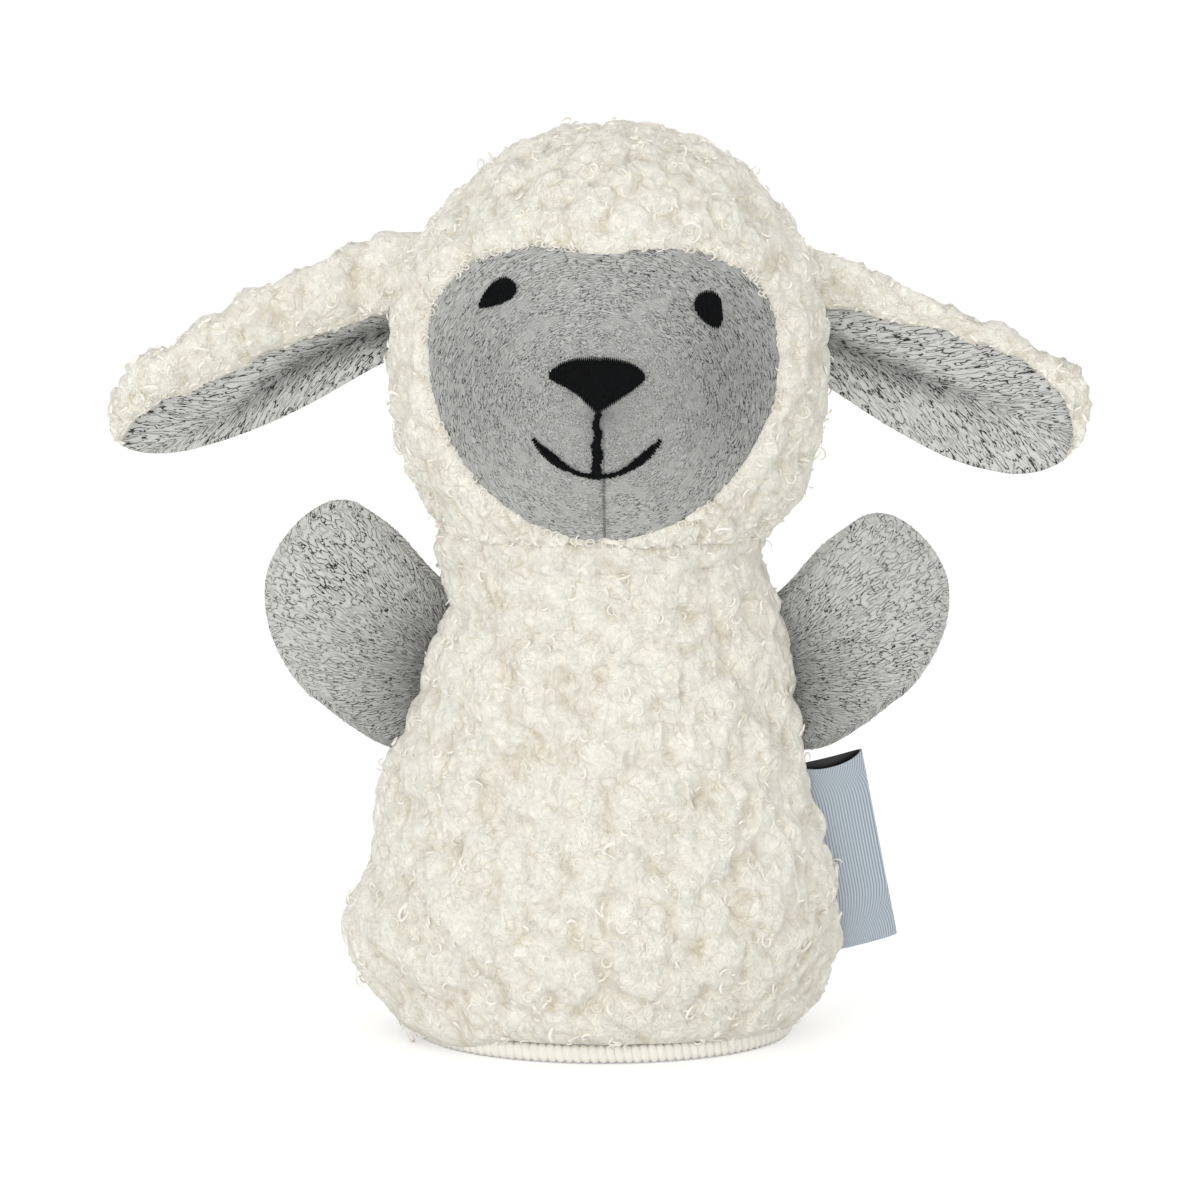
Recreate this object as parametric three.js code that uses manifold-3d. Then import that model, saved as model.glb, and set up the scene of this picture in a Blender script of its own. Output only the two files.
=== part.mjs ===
// Sheep finger puppet, in millimetres, +Z up, with its face towards -Y and its left side at -X.
//
// A sleeve of curly cloth, open at the hem, carries a stuffed head with a pocket for a finger,
// two drooping ears, two padded paws and a folded ribbon in the side seam.
// The origin is on the floor, under the middle of the box round the whole puppet.

import * as THREE from 'three';
import { mergeVertices } from 'three/addons/utils/BufferGeometryUtils.js';
import Module from 'manifold-3d';

const wasm = await Module();
wasm.setup();

// Cloths: each thickness is taken with its pile, and pieces that touch keep a clearance
const CLEARANCE = 0.3;
const BOUCLE = 4.2;
const VELBOA = 1.6;
const TRICOT = 0.8;
const EMBROIDERY = 0.8;

// Hem: the oval overlocked edge that the puppet stands on
const HEM = { halfWidth: 28.9, halfDepth: 22.5, height: 3, thickness: 2.4, rounding: 0.8 };

// Sleeve: the outside of the pile at the hem, where it is widest, at the waist and at the neck
const SLEEVE = {
  overhang: 2.6,
  widestHeight: 13.5, widestHalfWidth: 36.4, widestHalfDepth: 28.4,
  waistHeight: 43, waistHalfWidth: 30.2, waistHalfDepth: 24.4,
  neckHeight: 68.4, neckHalfWidth: 24.2, neckHalfDepth: 20.6,
};

// Neck: the soft cloth between sleeve and head, drawn in a little half way up
const NECK = { length: 9.6, drawIn: 0.9, flare: 0.8, wall: 3 };

// Head: the stuffed form under the cloth, a rounded egg that is flat where the neck cuts it
const HEAD = {
  aboveNeck: 25, halfHeight: 31, halfWidth: 28.3, frontDepth: 27, backDepth: 24.5, roundness: 2.3,
};
const MUZZLE = { bulge: 3, aboveCentre: -1, spread: 15 };

// Tufts: the pile gathers in soft staggered tufts and dips between them, but not at the side seams
const TUFT = { depth: 1.6, around: 12, apart: 14.4, upHead: 14, seamShare: 0.18, fullShare: 0.5, edge: 5 };

// Face: an egg outline, widest a little above the head's middle, with a dip at its top
const FACE = {
  aboveCentre: 2, halfWidth: 25.2, top: 17.8, bottom: 24.8, topRoundness: 2.6, bottomRoundness: 1.9,
  dip: 1.3, dipWidth: 7,
};

// Embroidery, placed from the middle of the face
const EYES = {
  arc: [-33, 247],
  left: { x: -15.4, z: 10.6, length: 5.8, width: 4.4, tilt: 28 },
  right: { x: 15.3, z: 8.6, length: 5.8, width: 4.6, tilt: -62 },
};
const NOSE = { x: -0.9, top: 1.9, corner: -0.6, bottom: -5.2, halfWidth: 6.9, rounding: 1.4 };
const MOUTH = { stroke: 1, lineBottom: -15.6, smileHalfWidth: 9, smileRise: 5.2 };

// Finger pocket: a knitted tube in the head, closed at its top
const POCKET = { radius: 9, aboveNeck: 36, floor: 0.8 };

// Ears: leaf shapes that droop from the side seams of the head
const EAR = {
  length: 42.4, rootHalf: 6.6, widestHalf: 9.7, widestAt: 27, rootAboveCentre: 9.4,
  pile: 3.4, rim: 1.7, droop: 23, sag: 3, tuck: 2.2, pinchLength: 9, rootShare: 0.2, edgeLoss: 0.35,
};
const EAR_SET = {
  left: { side: -1, roll: 36, curlRadius: 13, forward: 5 },
  right: { side: 1, roll: 12, curlRadius: 24, forward: 2 },
};

// Paws: padded mitts that lean up, sewn into the side seams of the sleeve
const PAW = {
  length: 23.6, rootHalf: 12.2, widestHalf: 15.4, widestAt: 12.8, lean: 0.31,
  rootHeight: 56.2, puff: 8.6, fullness: 2.4, roundness: 0.6,
  tuck: 1.8, pinchLength: 10, rootShare: 0.6, seam: 2.2, fillShare: 0.9,
};

// Side label: a ribbon folded into a loop, with its ends in the side seam
const LABEL = { length: 27.5, reach: 10, ribbon: 0.45, opening: 1.1, rootHalf: 0.65, topHeight: 41.5 };

// Fineness of the surfaces
const ROUND_STEPS = 36;
const HEAD_ROWS = 18;
const SLEEVE_ROWS = 9;
const TUFT_STEPS = 4 * TUFT.around;
const TUFT_HEAD_ROWS = 2 * TUFT.upHead;
const LEAF_STEPS = 24;
const LEAF_RINGS = 3;

const HEAD_BOTTOM = SLEEVE.neckHeight + NECK.length;
const HEAD_CENTRE = HEAD_BOTTOM + HEAD.aboveNeck;
const FACE_CENTRE = HEAD_CENTRE + FACE.aboveCentre;
const HOOD_SKIN = CLEARANCE + BOUCLE;
const FACE_SKIN = CLEARANCE + VELBOA;
const FAR = 200;

const radians = THREE.MathUtils.degToRad;
const blend = THREE.MathUtils.lerp;
const smooth = (low, high, value) => THREE.MathUtils.smoothstep(value, low, high);

// Solids: a closed surface from its points and faces, turned so that its faces point out
function surface(points, faces) {
  const geometry = new THREE.BufferGeometry();
  geometry.setAttribute('position', new THREE.Float32BufferAttribute(points.flat(), 3));
  const volume = faces.reduce((sum, [a, b, c]) => {
    const [p, q, r] = [points[a], points[b], points[c]].map((at) => new THREE.Vector3(...at));
    return sum + p.dot(q.cross(r));
  }, 0);
  geometry.setIndex(faces.map(([a, b, c]) => (volume < 0 ? [a, c, b] : [a, b, c])).flat());
  return geometry;
}

function toSolid(geometry) {
  const bare = geometry.clone();
  bare.deleteAttribute('normal');
  bare.deleteAttribute('uv');
  const merged = mergeVertices(bare, 1e-5);
  return new wasm.Manifold(new wasm.Mesh({
    numProp: 3,
    vertProperties: new Float32Array(merged.attributes.position.array),
    triVerts: new Uint32Array(merged.index.array),
  }));
}

function toGeometry(solid) {
  const mesh = solid.getMesh();
  const geometry = new THREE.BufferGeometry();
  geometry.setAttribute('position', new THREE.Float32BufferAttribute(mesh.vertProperties, 3));
  geometry.setIndex(Array.from(mesh.triVerts));
  return geometry;
}

// A box solid between two corners, for the planes that cut a form
function block(low, high) {
  const size = new THREE.Vector3(...high).sub(new THREE.Vector3(...low));
  const geometry = new THREE.BoxGeometry(size.x, size.y, size.z);
  geometry.translate(...size.multiplyScalar(0.5).add(new THREE.Vector3(...low)).toArray());
  return toSolid(geometry);
}

// Two faces for four corners, cut the other way in every second cell, so that bumps come out even
function split([a, b, c, d], cell) {
  return cell % 2 === 0 ? [[a, b, c], [a, c, d]] : [[b, c, d], [b, d, a]];
}

// A ball-like surface: rows of points between two poles
function ballSurface(pointAt, rows, steps) {
  const points = [pointAt(0, -Math.PI / 2), pointAt(0, Math.PI / 2)];
  for (let row = 1; row < rows; row += 1) {
    for (let step = 0; step < steps; step += 1) {
      points.push(pointAt((2 * Math.PI * step) / steps, Math.PI * (row / rows - 0.5)));
    }
  }
  const at = (row, step) => 2 + (row - 1) * steps + (step % steps);
  const faces = [];
  for (let step = 0; step < steps; step += 1) {
    faces.push([0, at(1, step + 1), at(1, step)], [1, at(rows - 1, step), at(rows - 1, step + 1)]);
    for (let row = 1; row < rows - 1; row += 1) {
      const corners = [at(row, step), at(row, step + 1), at(row + 1, step + 1), at(row + 1, step)];
      faces.push(...split(corners, row + step));
    }
  }
  return surface(points, faces);
}

// An oval ring: a closed profile of half-width, half-depth and height, carried round
function ovalRing(profile, steps) {
  const points = profile.flatMap(([halfWidth, halfDepth, height]) => (
    Array.from({ length: steps }, (_, step) => {
      const turn = (2 * Math.PI * step) / steps;
      return [halfWidth * Math.cos(turn), halfDepth * Math.sin(turn), height];
    })
  ));
  const at = (row, step) => (row % profile.length) * steps + (step % steps);
  const faces = [];
  profile.forEach((_, row) => {
    for (let step = 0; step < steps; step += 1) {
      faces.push([at(row, step), at(row, step + 1), at(row + 1, step)]);
      faces.push([at(row, step + 1), at(row + 1, step + 1), at(row + 1, step)]);
    }
  });
  return surface(points, faces);
}

// A wall between two grids of points with the same rows and columns, closed along its four edges
function wall(outer, inner) {
  const rows = outer.length;
  const columns = outer[0].length;
  const points = [...outer.flat(), ...inner.flat()];
  const out = (row, column) => row * columns + column;
  const into = (row, column) => rows * columns + out(row, column);
  const faces = [];
  const quad = (...corners) => faces.push(...split(corners, 0));
  for (let row = 0; row < rows - 1; row += 1) {
    for (let column = 0; column < columns - 1; column += 1) {
      const corners = [[row, column], [row, column + 1], [row + 1, column + 1], [row + 1, column]];
      faces.push(...split(corners.map((corner) => out(...corner)), row + column));
      faces.push(...split(corners.map((corner) => into(...corner)).reverse(), 0));
    }
    quad(out(row, 0), out(row + 1, 0), into(row + 1, 0), into(row, 0));
    const last = columns - 1;
    quad(out(row + 1, last), out(row, last), into(row, last), into(row + 1, last));
  }
  for (let column = 0; column < columns - 1; column += 1) {
    quad(out(0, column + 1), out(0, column), into(0, column), into(0, column + 1));
    const last = rows - 1;
    quad(out(last, column), out(last, column + 1), into(last, column + 1), into(last, column));
  }
  return surface(points, faces);
}

// A leaf outline in its own plane: a straight root, a widest place and a round tip, leaning by a slope
function leafOutline({ length, rootHalf, widestHalf, widestAt, lean = 0, tuck }, inset = 0) {
  const start = inset > 0 ? inset : -tuck;
  const halfAt = (along) => {
    if (along < widestAt) {
      return rootHalf + (widestHalf - rootHalf) * Math.sin((Math.PI / 2) * Math.max(along / widestAt, 0));
    }
    return widestHalf * Math.sqrt(Math.max(1 - ((along - widestAt) / (length - widestAt)) ** 2, 0));
  };
  const half = LEAF_STEPS / 2;
  const end = length - inset;
  const edge = (step, sign) => {
    const along = start + ((end - start) * (1 - Math.cos((Math.PI * step) / half))) / 2;
    const share = halfAt(THREE.MathUtils.clamp((along * length) / end, 0, length));
    return [along, lean * along + sign * Math.max(share - inset, 0)];
  };
  const upper = Array.from({ length: half }, (_, step) => edge(step, 1));
  const lower = Array.from({ length: half - 1 }, (_, step) => edge(half - 1 - step, -1));
  return [[start, lean * start], ...upper, edge(half, 1), ...lower];
}

// A padded leaf over an outline, between two heights that depend on the place in the outline
function leafSurface(outline, lowAt, highAt, place) {
  const middle = [0, 1].map((axis) => outline.reduce((sum, at) => sum + at[axis], 0) / outline.length);
  const steps = outline.length;
  const side = (heightAt) => {
    const points = [place(...middle, heightAt(...middle, 0))];
    for (let ring = 1; ring <= LEAF_RINGS; ring += 1) {
      const share = Math.sin((Math.PI / 2) * (ring / LEAF_RINGS));
      outline.forEach(([u, v]) => {
        const at = [middle[0] + share * (u - middle[0]), middle[1] + share * (v - middle[1])];
        points.push(place(...at, heightAt(...at, share)));
      });
    }
    return points;
  };
  const low = side(lowAt);
  const high = side(highAt);
  const at = (ring, step) => (ring === 0 ? 0 : 1 + (ring - 1) * steps + (step % steps));
  const faces = [];
  const shift = low.length;
  for (let step = 0; step < steps; step += 1) {
    for (let ring = 0; ring < LEAF_RINGS; ring += 1) {
      const [a, b] = [at(ring, step), at(ring, step + 1)];
      const [c, d] = [at(ring + 1, step), at(ring + 1, step + 1)];
      faces.push([c, a, d], [shift + c, shift + d, shift + a]);
      if (ring > 0) faces.push([a, b, d], [shift + a, shift + d, shift + b]);
    }
    const [a, b] = [at(LEAF_RINGS, step), at(LEAF_RINGS, step + 1)];
    faces.push([a, b, shift + b], [a, shift + b, shift + a]);
  }
  return surface([...low, ...high], faces);
}

// A prism along Y in front of the middle, from an outline drawn in X and Z
function frontPrism(shape) {
  const geometry = new THREE.ExtrudeGeometry(shape, { depth: FAR, bevelEnabled: false, curveSegments: 8 });
  geometry.rotateX(Math.PI / 2);
  return toSolid(geometry);
}

// How far the pile dips between its tufts, at a turn round the puppet and a phase up it
function tuftDip(turn, phase) {
  const clear = smooth(TUFT.seamShare, TUFT.fullShare, Math.abs(Math.sin(turn)));
  return (TUFT.depth / 2) * (1 - Math.cos(TUFT.around * turn) * Math.cos(phase)) * clear;
}

// Head: a point of the egg whose surface lies so far outside the stuffed form
function headPoint(turn, rise, grow) {
  const power = 2 / HEAD.roundness;
  const reach = Math.max(Math.cos(rise), 0) ** power;
  const lift = Math.sign(rise) * Math.abs(Math.sin(rise)) ** power;
  const front = Math.max(-Math.sin(turn), 0);
  const depth = front > 0 ? HEAD.frontDepth : HEAD.backDepth;
  const x = (HEAD.halfWidth + grow) * reach * Math.cos(turn);
  const z = (HEAD.halfHeight + grow) * lift;
  const away = (x / MUZZLE.spread) ** 2 + ((z - MUZZLE.aboveCentre) / MUZZLE.spread) ** 2;
  const y = (depth + grow) * reach * Math.sin(turn) - MUZZLE.bulge * front * reach * Math.exp(-away);
  return [x, y, HEAD_CENTRE + z];
}

function headSolid(grow) {
  return toSolid(ballSurface((turn, rise) => headPoint(turn, rise, grow), HEAD_ROWS, ROUND_STEPS));
}

function tuftedHead() {
  const pointAt = (turn, rise) => (
    headPoint(turn, rise, HOOD_SKIN - tuftDip(turn, TUFT.upHead * rise) * Math.cos(rise))
  );
  return toSolid(ballSurface(pointAt, TUFT_HEAD_ROWS, TUFT_STEPS));
}

// Half-width of the hood's outside at a height above the head's middle
function hoodHalfWidth(aboveCentre) {
  const share = Math.abs(aboveCentre) / (HEAD.halfHeight + HOOD_SKIN);
  return (HEAD.halfWidth + HOOD_SKIN) * (1 - share ** HEAD.roundness) ** (1 / HEAD.roundness);
}

const aboveNeck = block([-FAR, -FAR, HEAD_BOTTOM], [FAR, FAR, FAR]);
const frontHalf = block([-FAR, -FAR, -FAR], [FAR, -CLEARANCE / 2, FAR]);
const backHalf = block([-FAR, CLEARANCE / 2, -FAR], [FAR, FAR, FAR]);

function faceOutline(inset) {
  const steps = 40;
  const points = Array.from({ length: steps }, (_, step) => {
    const turn = (2 * Math.PI * step) / steps;
    const up = Math.sin(turn) > 0;
    const power = 2 / (up ? FACE.topRoundness : FACE.bottomRoundness);
    const reach = Math.sign(Math.cos(turn)) * Math.abs(Math.cos(turn)) ** power;
    const lift = Math.abs(Math.sin(turn)) ** power;
    const x = (FACE.halfWidth - inset) * reach;
    const dip = up ? FACE.dip * lift * Math.exp(-((x / FACE.dipWidth) ** 2)) : 0;
    const z = up ? (FACE.top - inset) * lift - dip : -(FACE.bottom - inset) * lift;
    return new THREE.Vector2(x, FACE_CENTRE + z);
  });
  return new THREE.Shape(points);
}

function hoodPanels() {
  const shell = tuftedHead().subtract(headSolid(CLEARANCE)).intersect(aboveNeck);
  return {
    front: shell.subtract(frontPrism(faceOutline(0))).intersect(frontHalf),
    back: shell.intersect(backHalf),
  };
}

function facePanel() {
  const shell = headSolid(FACE_SKIN).subtract(headSolid(CLEARANCE));
  return shell.intersect(frontPrism(faceOutline(CLEARANCE)));
}

// Embroidery: a thin pad that follows the face's surface inside an outline
function embroideryPad(...shapes) {
  const low = FACE_SKIN + CLEARANCE;
  const pad = headSolid(low + EMBROIDERY).subtract(headSolid(low));
  const [first, ...rest] = shapes.map(frontPrism);
  return pad.intersect(rest.reduce((sum, shape) => sum.add(shape), first));
}

// An eye: an oval whose lower inner side is cut straight
function eyeShape({ x, z, length, width, tilt }) {
  const shape = new THREE.Shape();
  const [from, to] = EYES.arc.map(radians);
  shape.absellipse(x, FACE_CENTRE + z, length / 2, width / 2, from, to, false, radians(tilt));
  shape.closePath();
  return shape;
}

// The nose: three round corners, with a domed top edge between the upper two
function noseShape() {
  const { x, top, corner, bottom, halfWidth, rounding } = NOSE;
  const z = (above) => FACE_CENTRE + above;
  const slant = Math.atan2(corner - bottom - rounding, halfWidth - rounding);
  const upright = Math.PI / 2;
  const shape = new THREE.Shape();
  shape.absarc(x - halfWidth + rounding, z(corner), rounding, upright, 3 * upright - slant, false);
  shape.absarc(x, z(bottom + rounding), rounding, 3 * upright - slant, 3 * upright + slant, false);
  shape.absarc(x + halfWidth - rounding, z(corner), rounding, slant - upright, upright, false);
  shape.quadraticCurveTo(x, z(2 * top - corner - rounding), x - halfWidth + rounding, z(corner + rounding));
  return shape;
}

// The mouth: an upright line that a smile crosses at its foot
function mouthShapes() {
  const half = MOUTH.stroke / 2;
  const z = (above) => FACE_CENTRE + above;
  const line = new THREE.Shape([
    new THREE.Vector2(NOSE.x - half, z(NOSE.bottom - CLEARANCE)),
    new THREE.Vector2(NOSE.x - half, z(MOUTH.lineBottom)),
    new THREE.Vector2(NOSE.x + half, z(MOUTH.lineBottom)),
    new THREE.Vector2(NOSE.x + half, z(NOSE.bottom - CLEARANCE)),
  ]);
  const steps = 10;
  const along = (shift) => Array.from({ length: steps + 1 }, (_, step) => {
    const share = (2 * step) / steps - 1;
    const rise = MOUTH.smileRise * share ** 2;
    return new THREE.Vector2(NOSE.x + MOUTH.smileHalfWidth * share, z(MOUTH.lineBottom + rise + shift));
  });
  return [line, new THREE.Shape([...along(-half), ...along(half).reverse()])];
}

// Finger pocket: a knitted tube with a domed end, standing on a round floor that closes the head
const FLOOR_BOTTOM = HEAD_BOTTOM + CLEARANCE;
const FLOOR_TOP = FLOOR_BOTTOM + POCKET.floor;
const POCKET_TOP = HEAD_BOTTOM + POCKET.aboveNeck;

function domeProfile(radius, top) {
  const steps = 5;
  return Array.from({ length: steps + 1 }, (_, step) => {
    const turn = (Math.PI / 2) * (step / steps);
    return [step === steps ? 0 : radius * Math.cos(turn), top - radius + radius * Math.sin(turn)];
  });
}

function turned(profile) {
  const geometry = new THREE.LatheGeometry(profile.map(([r, z]) => new THREE.Vector2(r, z)), 20);
  geometry.rotateX(Math.PI / 2);
  return toSolid(geometry);
}

function fingerPocket() {
  const narrowest = Math.min(HEAD.halfWidth, HEAD.frontDepth, HEAD.backDepth);
  const share = (HEAD_CENTRE - FLOOR_BOTTOM) / HEAD.halfHeight;
  const floorRadius = narrowest * (1 - share ** HEAD.roundness) ** (1 / HEAD.roundness) - CLEARANCE;
  const outside = POCKET.radius + TRICOT;
  return turned([
    ...domeProfile(POCKET.radius, POCKET_TOP).reverse(),
    [POCKET.radius, FLOOR_BOTTOM], [floorRadius, FLOOR_BOTTOM], [floorRadius, FLOOR_TOP],
    [outside, FLOOR_TOP], ...domeProfile(outside, POCKET_TOP + TRICOT),
  ]);
}

function headFilling() {
  const room = block([-FAR, -FAR, FLOOR_TOP + CLEARANCE], [FAR, FAR, FAR]);
  const skin = TRICOT + CLEARANCE;
  const radius = POCKET.radius + skin;
  const hollow = turned([[0, HEAD_BOTTOM], [radius, HEAD_BOTTOM], ...domeProfile(radius, POCKET_TOP + skin)]);
  return headSolid(0).intersect(room).subtract(hollow);
}

// Sleeve: rows of half-width, half-depth and height on a smooth line through the four stations
const sleeveLine = new THREE.CatmullRomCurve3([
  new THREE.Vector3(HEM.halfWidth + SLEEVE.overhang, HEM.halfDepth + SLEEVE.overhang, HEM.height + CLEARANCE),
  new THREE.Vector3(SLEEVE.widestHalfWidth, SLEEVE.widestHalfDepth, SLEEVE.widestHeight),
  new THREE.Vector3(SLEEVE.waistHalfWidth, SLEEVE.waistHalfDepth, SLEEVE.waistHeight),
  new THREE.Vector3(SLEEVE.neckHalfWidth, SLEEVE.neckHalfDepth, SLEEVE.neckHeight),
], false, 'centripetal');
const sleeveRows = sleeveLine.getSpacedPoints(SLEEVE_ROWS);

function sleeveHalfWidth(height) {
  const top = sleeveRows.length - 1;
  const above = sleeveRows.findIndex((row, index) => index > 0 && (row.z > height || index === top));
  const [low, high] = [sleeveRows[above - 1], sleeveRows[above]];
  return THREE.MathUtils.mapLinear(height, low.z, high.z, low.x, high.x);
}

function sleevePanel(side) {
  const columns = TUFT_STEPS / 2;
  const rows = sleeveRows.flatMap((row, index) => (
    index === 0 ? [row] : [row.clone().lerp(sleeveRows[index - 1], 0.5), row]
  ));
  const ends = [rows[0].z, rows[rows.length - 1].z];
  const grid = (insetAt) => rows.map((row) => (
    Array.from({ length: columns + 1 }, (_, column) => {
      const turn = (Math.PI * column) / columns;
      const inset = insetAt(turn, row.z);
      const y = side * ((row.y - inset) * Math.sin(turn) + CLEARANCE / 2);
      return [(row.x - inset) * Math.cos(turn), y, row.z];
    })
  ));
  const pile = (turn, height) => {
    const inward = smooth(0, TUFT.edge, Math.min(height - ends[0], ends[1] - height));
    return tuftDip(turn, (2 * Math.PI * (height - ends[0])) / TUFT.apart) * inward;
  };
  return wall(grid(pile), grid(() => BOUCLE));
}

function hemThread() {
  const { halfWidth, halfDepth, height, thickness, rounding } = HEM;
  const station = (inset, z) => [halfWidth - inset, halfDepth - inset, z];
  return ovalRing([
    station(thickness, 0), station(0, 0), station(0, height - rounding), station(rounding, height),
    station(thickness - rounding, height), station(thickness, height - rounding),
  ], ROUND_STEPS);
}

function neckGather() {
  const low = SLEEVE.neckHeight + CLEARANCE;
  const high = HEAD_BOTTOM - CLEARANCE;
  const levels = [[0, low], [-NECK.drawIn, (low + high) / 2], [NECK.flare, high]];
  const station = (inset) => ([extra, z]) => (
    [SLEEVE.neckHalfWidth + extra - inset, SLEEVE.neckHalfDepth + extra - inset, z]
  );
  return ovalRing([...levels.map(station(0)), ...levels.map(station(NECK.wall)).reverse()], ROUND_STEPS);
}

// Ears: the root lies along the hood's side, and the leaf leaves it outwards and down
function earHinge(side) {
  const slope = (hoodHalfWidth(EAR.rootAboveCentre + 1) - hoodHalfWidth(EAR.rootAboveCentre - 1)) / 2;
  const seam = new THREE.Vector3(side * slope, 0, 1).normalize();
  const outward = new THREE.Vector3(side, 0, -slope).normalize();
  const height = EAR.rootAboveCentre;
  const root = new THREE.Vector3(side * hoodHalfWidth(height), 0, HEAD_CENTRE + height);
  const swept = Math.hypot(EAR.tuck, CLEARANCE / 2 + EAR.pile * EAR.rootShare);
  return { pivot: root.addScaledVector(outward, CLEARANCE + swept), axis: seam };
}

function earFrame({ side, roll, curlRadius, forward }) {
  const { pivot, axis } = earHinge(side);
  const droop = radians(EAR.droop);
  const along = new THREE.Vector3(side * Math.cos(droop), 0, -Math.sin(droop));
  const upright = new THREE.Vector3(side * Math.sin(droop), 0, Math.cos(droop));
  const back = new THREE.Vector3(0, 1, 0);
  return (u, v, n) => {
    const share = smooth(0, EAR.length * 0.6, u);
    const tilt = radians(roll) * share;
    const across = upright.clone().multiplyScalar(Math.cos(tilt)).addScaledVector(back, -Math.sin(tilt));
    across.lerp(axis, 1 - smooth(0, EAR.length * 0.35, u)).normalize();
    const normal = back.clone().multiplyScalar(Math.cos(tilt)).addScaledVector(upright, Math.sin(tilt));
    const radius = curlRadius / Math.max(share, 0.05);
    const bend = v / radius;
    const sag = EAR.sag * (u / EAR.length) ** 2;
    const at = pivot.clone().addScaledVector(along, u).add(new THREE.Vector3(0, -forward * share, -sag));
    at.addScaledVector(across, (radius + n) * Math.sin(bend));
    at.addScaledVector(normal, (radius + n) * Math.cos(bend) - radius);
    return at.toArray();
  };
}

function earPieces(set) {
  const place = earFrame(set);
  const gap = CLEARANCE / 2;
  const taper = (u, share) => (
    blend(EAR.rootShare, 1, smooth(-EAR.tuck, EAR.pinchLength, u)) * (1 - EAR.edgeLoss * share ** 4)
  );
  const pile = (u, v, share) => gap + EAR.pile * taper(u, share);
  const lining = (u, v, share) => -gap - VELBOA * taper(u, share);
  const inner = {
    ...EAR,
    length: EAR.length - EAR.rim,
    rootHalf: EAR.rootHalf - EAR.rim,
    widestHalf: EAR.widestHalf - EAR.rim,
  };
  return {
    back: leafSurface(leafOutline(EAR), () => gap, pile, place),
    lining: leafSurface(leafOutline(inner), lining, () => -gap, place),
  };
}

// Paws: two domed panels that meet at the paw's own seam, with filling between them
function pawHinge(side) {
  const [low, high] = [PAW.rootHeight - PAW.rootHalf, PAW.rootHeight + PAW.rootHalf];
  const slope = (sleeveHalfWidth(high) - sleeveHalfWidth(low)) / (high - low);
  const outward = new THREE.Vector3(side, 0, -slope).normalize();
  const root = new THREE.Vector3(side * sleeveHalfWidth(PAW.rootHeight), 0, PAW.rootHeight);
  root.addScaledVector(outward, CLEARANCE + Math.hypot(PAW.tuck, CLEARANCE / 2 + VELBOA * PAW.rootShare));
  return { pivot: root, axis: new THREE.Vector3(side * slope, 0, 1).normalize(), outward };
}

function pawFrame(side) {
  const { pivot, axis, outward } = pawHinge(side);
  return (u, v, n) => {
    const at = pivot.clone().addScaledVector(outward, u).addScaledVector(axis, v);
    return [at.x, n, at.z];
  };
}

function pawPieces(side) {
  const place = pawFrame(side);
  const gap = CLEARANCE / 2;
  const outline = leafOutline(PAW);
  const pinch = (u) => smooth(-PAW.tuck, PAW.pinchLength, u);
  const cloth = (u) => VELBOA * blend(PAW.rootShare, 1, pinch(u));
  const inside = (u, share) => (
    (PAW.puff - VELBOA) * (1 - share ** PAW.fullness) ** PAW.roundness * pinch(u)
  );
  const panel = (sign) => leafSurface(
    outline,
    (u, v, share) => sign * (gap + inside(u, share)),
    (u, v, share) => sign * (gap + inside(u, share) + cloth(u)),
    place,
  );
  const room = leafOutline(PAW, PAW.seam);
  const full = (u, share) => Math.max(inside(u, PAW.fillShare * share) - CLEARANCE, gap);
  const filling = leafSurface(room, (u, v, share) => -full(u, share), (u, v, share) => full(u, share), place);
  return { front: panel(-1), back: panel(1), filling };
}

// Side label: the ribbon's loop in plan, drawn along a line just outside the seam
function labelHinge() {
  const bottom = LABEL.topHeight - LABEL.length;
  const lean = Math.atan2(sleeveHalfWidth(bottom) - sleeveHalfWidth(LABEL.topHeight), LABEL.length);
  const outside = Array.from({ length: 11 }, (_, step) => {
    const height = bottom + (LABEL.length * step) / 10;
    return sleeveHalfWidth(height) + Math.tan(lean) * (height - bottom);
  });
  const pivot = new THREE.Vector3(Math.max(...outside) + CLEARANCE + LABEL.rootHalf / 2, 0, bottom);
  return { pivot, axis: new THREE.Vector3(-Math.sin(lean), 0, Math.cos(lean)), lean };
}

function sideLabel() {
  const { length, reach, ribbon, opening, rootHalf } = LABEL;
  const loop = (inset) => {
    const half = ribbon + opening / 2 - inset;
    const shape = new THREE.Shape();
    shape.moveTo(inset, inset - rootHalf);
    shape.lineTo(reach - half - inset, -half);
    shape.absarc(reach - half - inset, 0, half, -Math.PI / 2, Math.PI / 2, false);
    shape.lineTo(inset, rootHalf - inset);
    shape.closePath();
    return shape;
  };
  const outline = loop(0);
  outline.holes.push(loop(ribbon));
  const options = { depth: length, bevelEnabled: false, curveSegments: 6 };
  const geometry = new THREE.ExtrudeGeometry(outline, options);
  const { pivot, lean } = labelHinge();
  geometry.rotateY(-lean);
  geometry.translate(...pivot.toArray());
  return geometry;
}

// The whole puppet
const colours = {
  boucle: { color: 0xece6d9, roughness: 0.95 },
  velboa: { color: 0xa8a9a5, roughness: 0.85 },
  thread: { color: 0x0d0f10, roughness: 0.6 },
  overlock: { color: 0xf6f1e6, roughness: 0.7 },
  ribbon: { color: 0xa9b6c1, roughness: 0.45 },
  filling: { color: 0xf4f4f0, roughness: 1 },
  tricot: { color: 0xe6e2d8, roughness: 0.9 },
};

// A group of pieces that moves as one, with its origin on its hinge
function moving(parent, name, { pivot, axis }) {
  const group = new THREE.Group();
  group.name = name;
  group.position.copy(parent.worldToLocal(pivot.clone()));
  group.userData.axis = axis.toArray();
  parent.add(group);
  group.updateMatrixWorld(true);
  return group;
}

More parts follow.
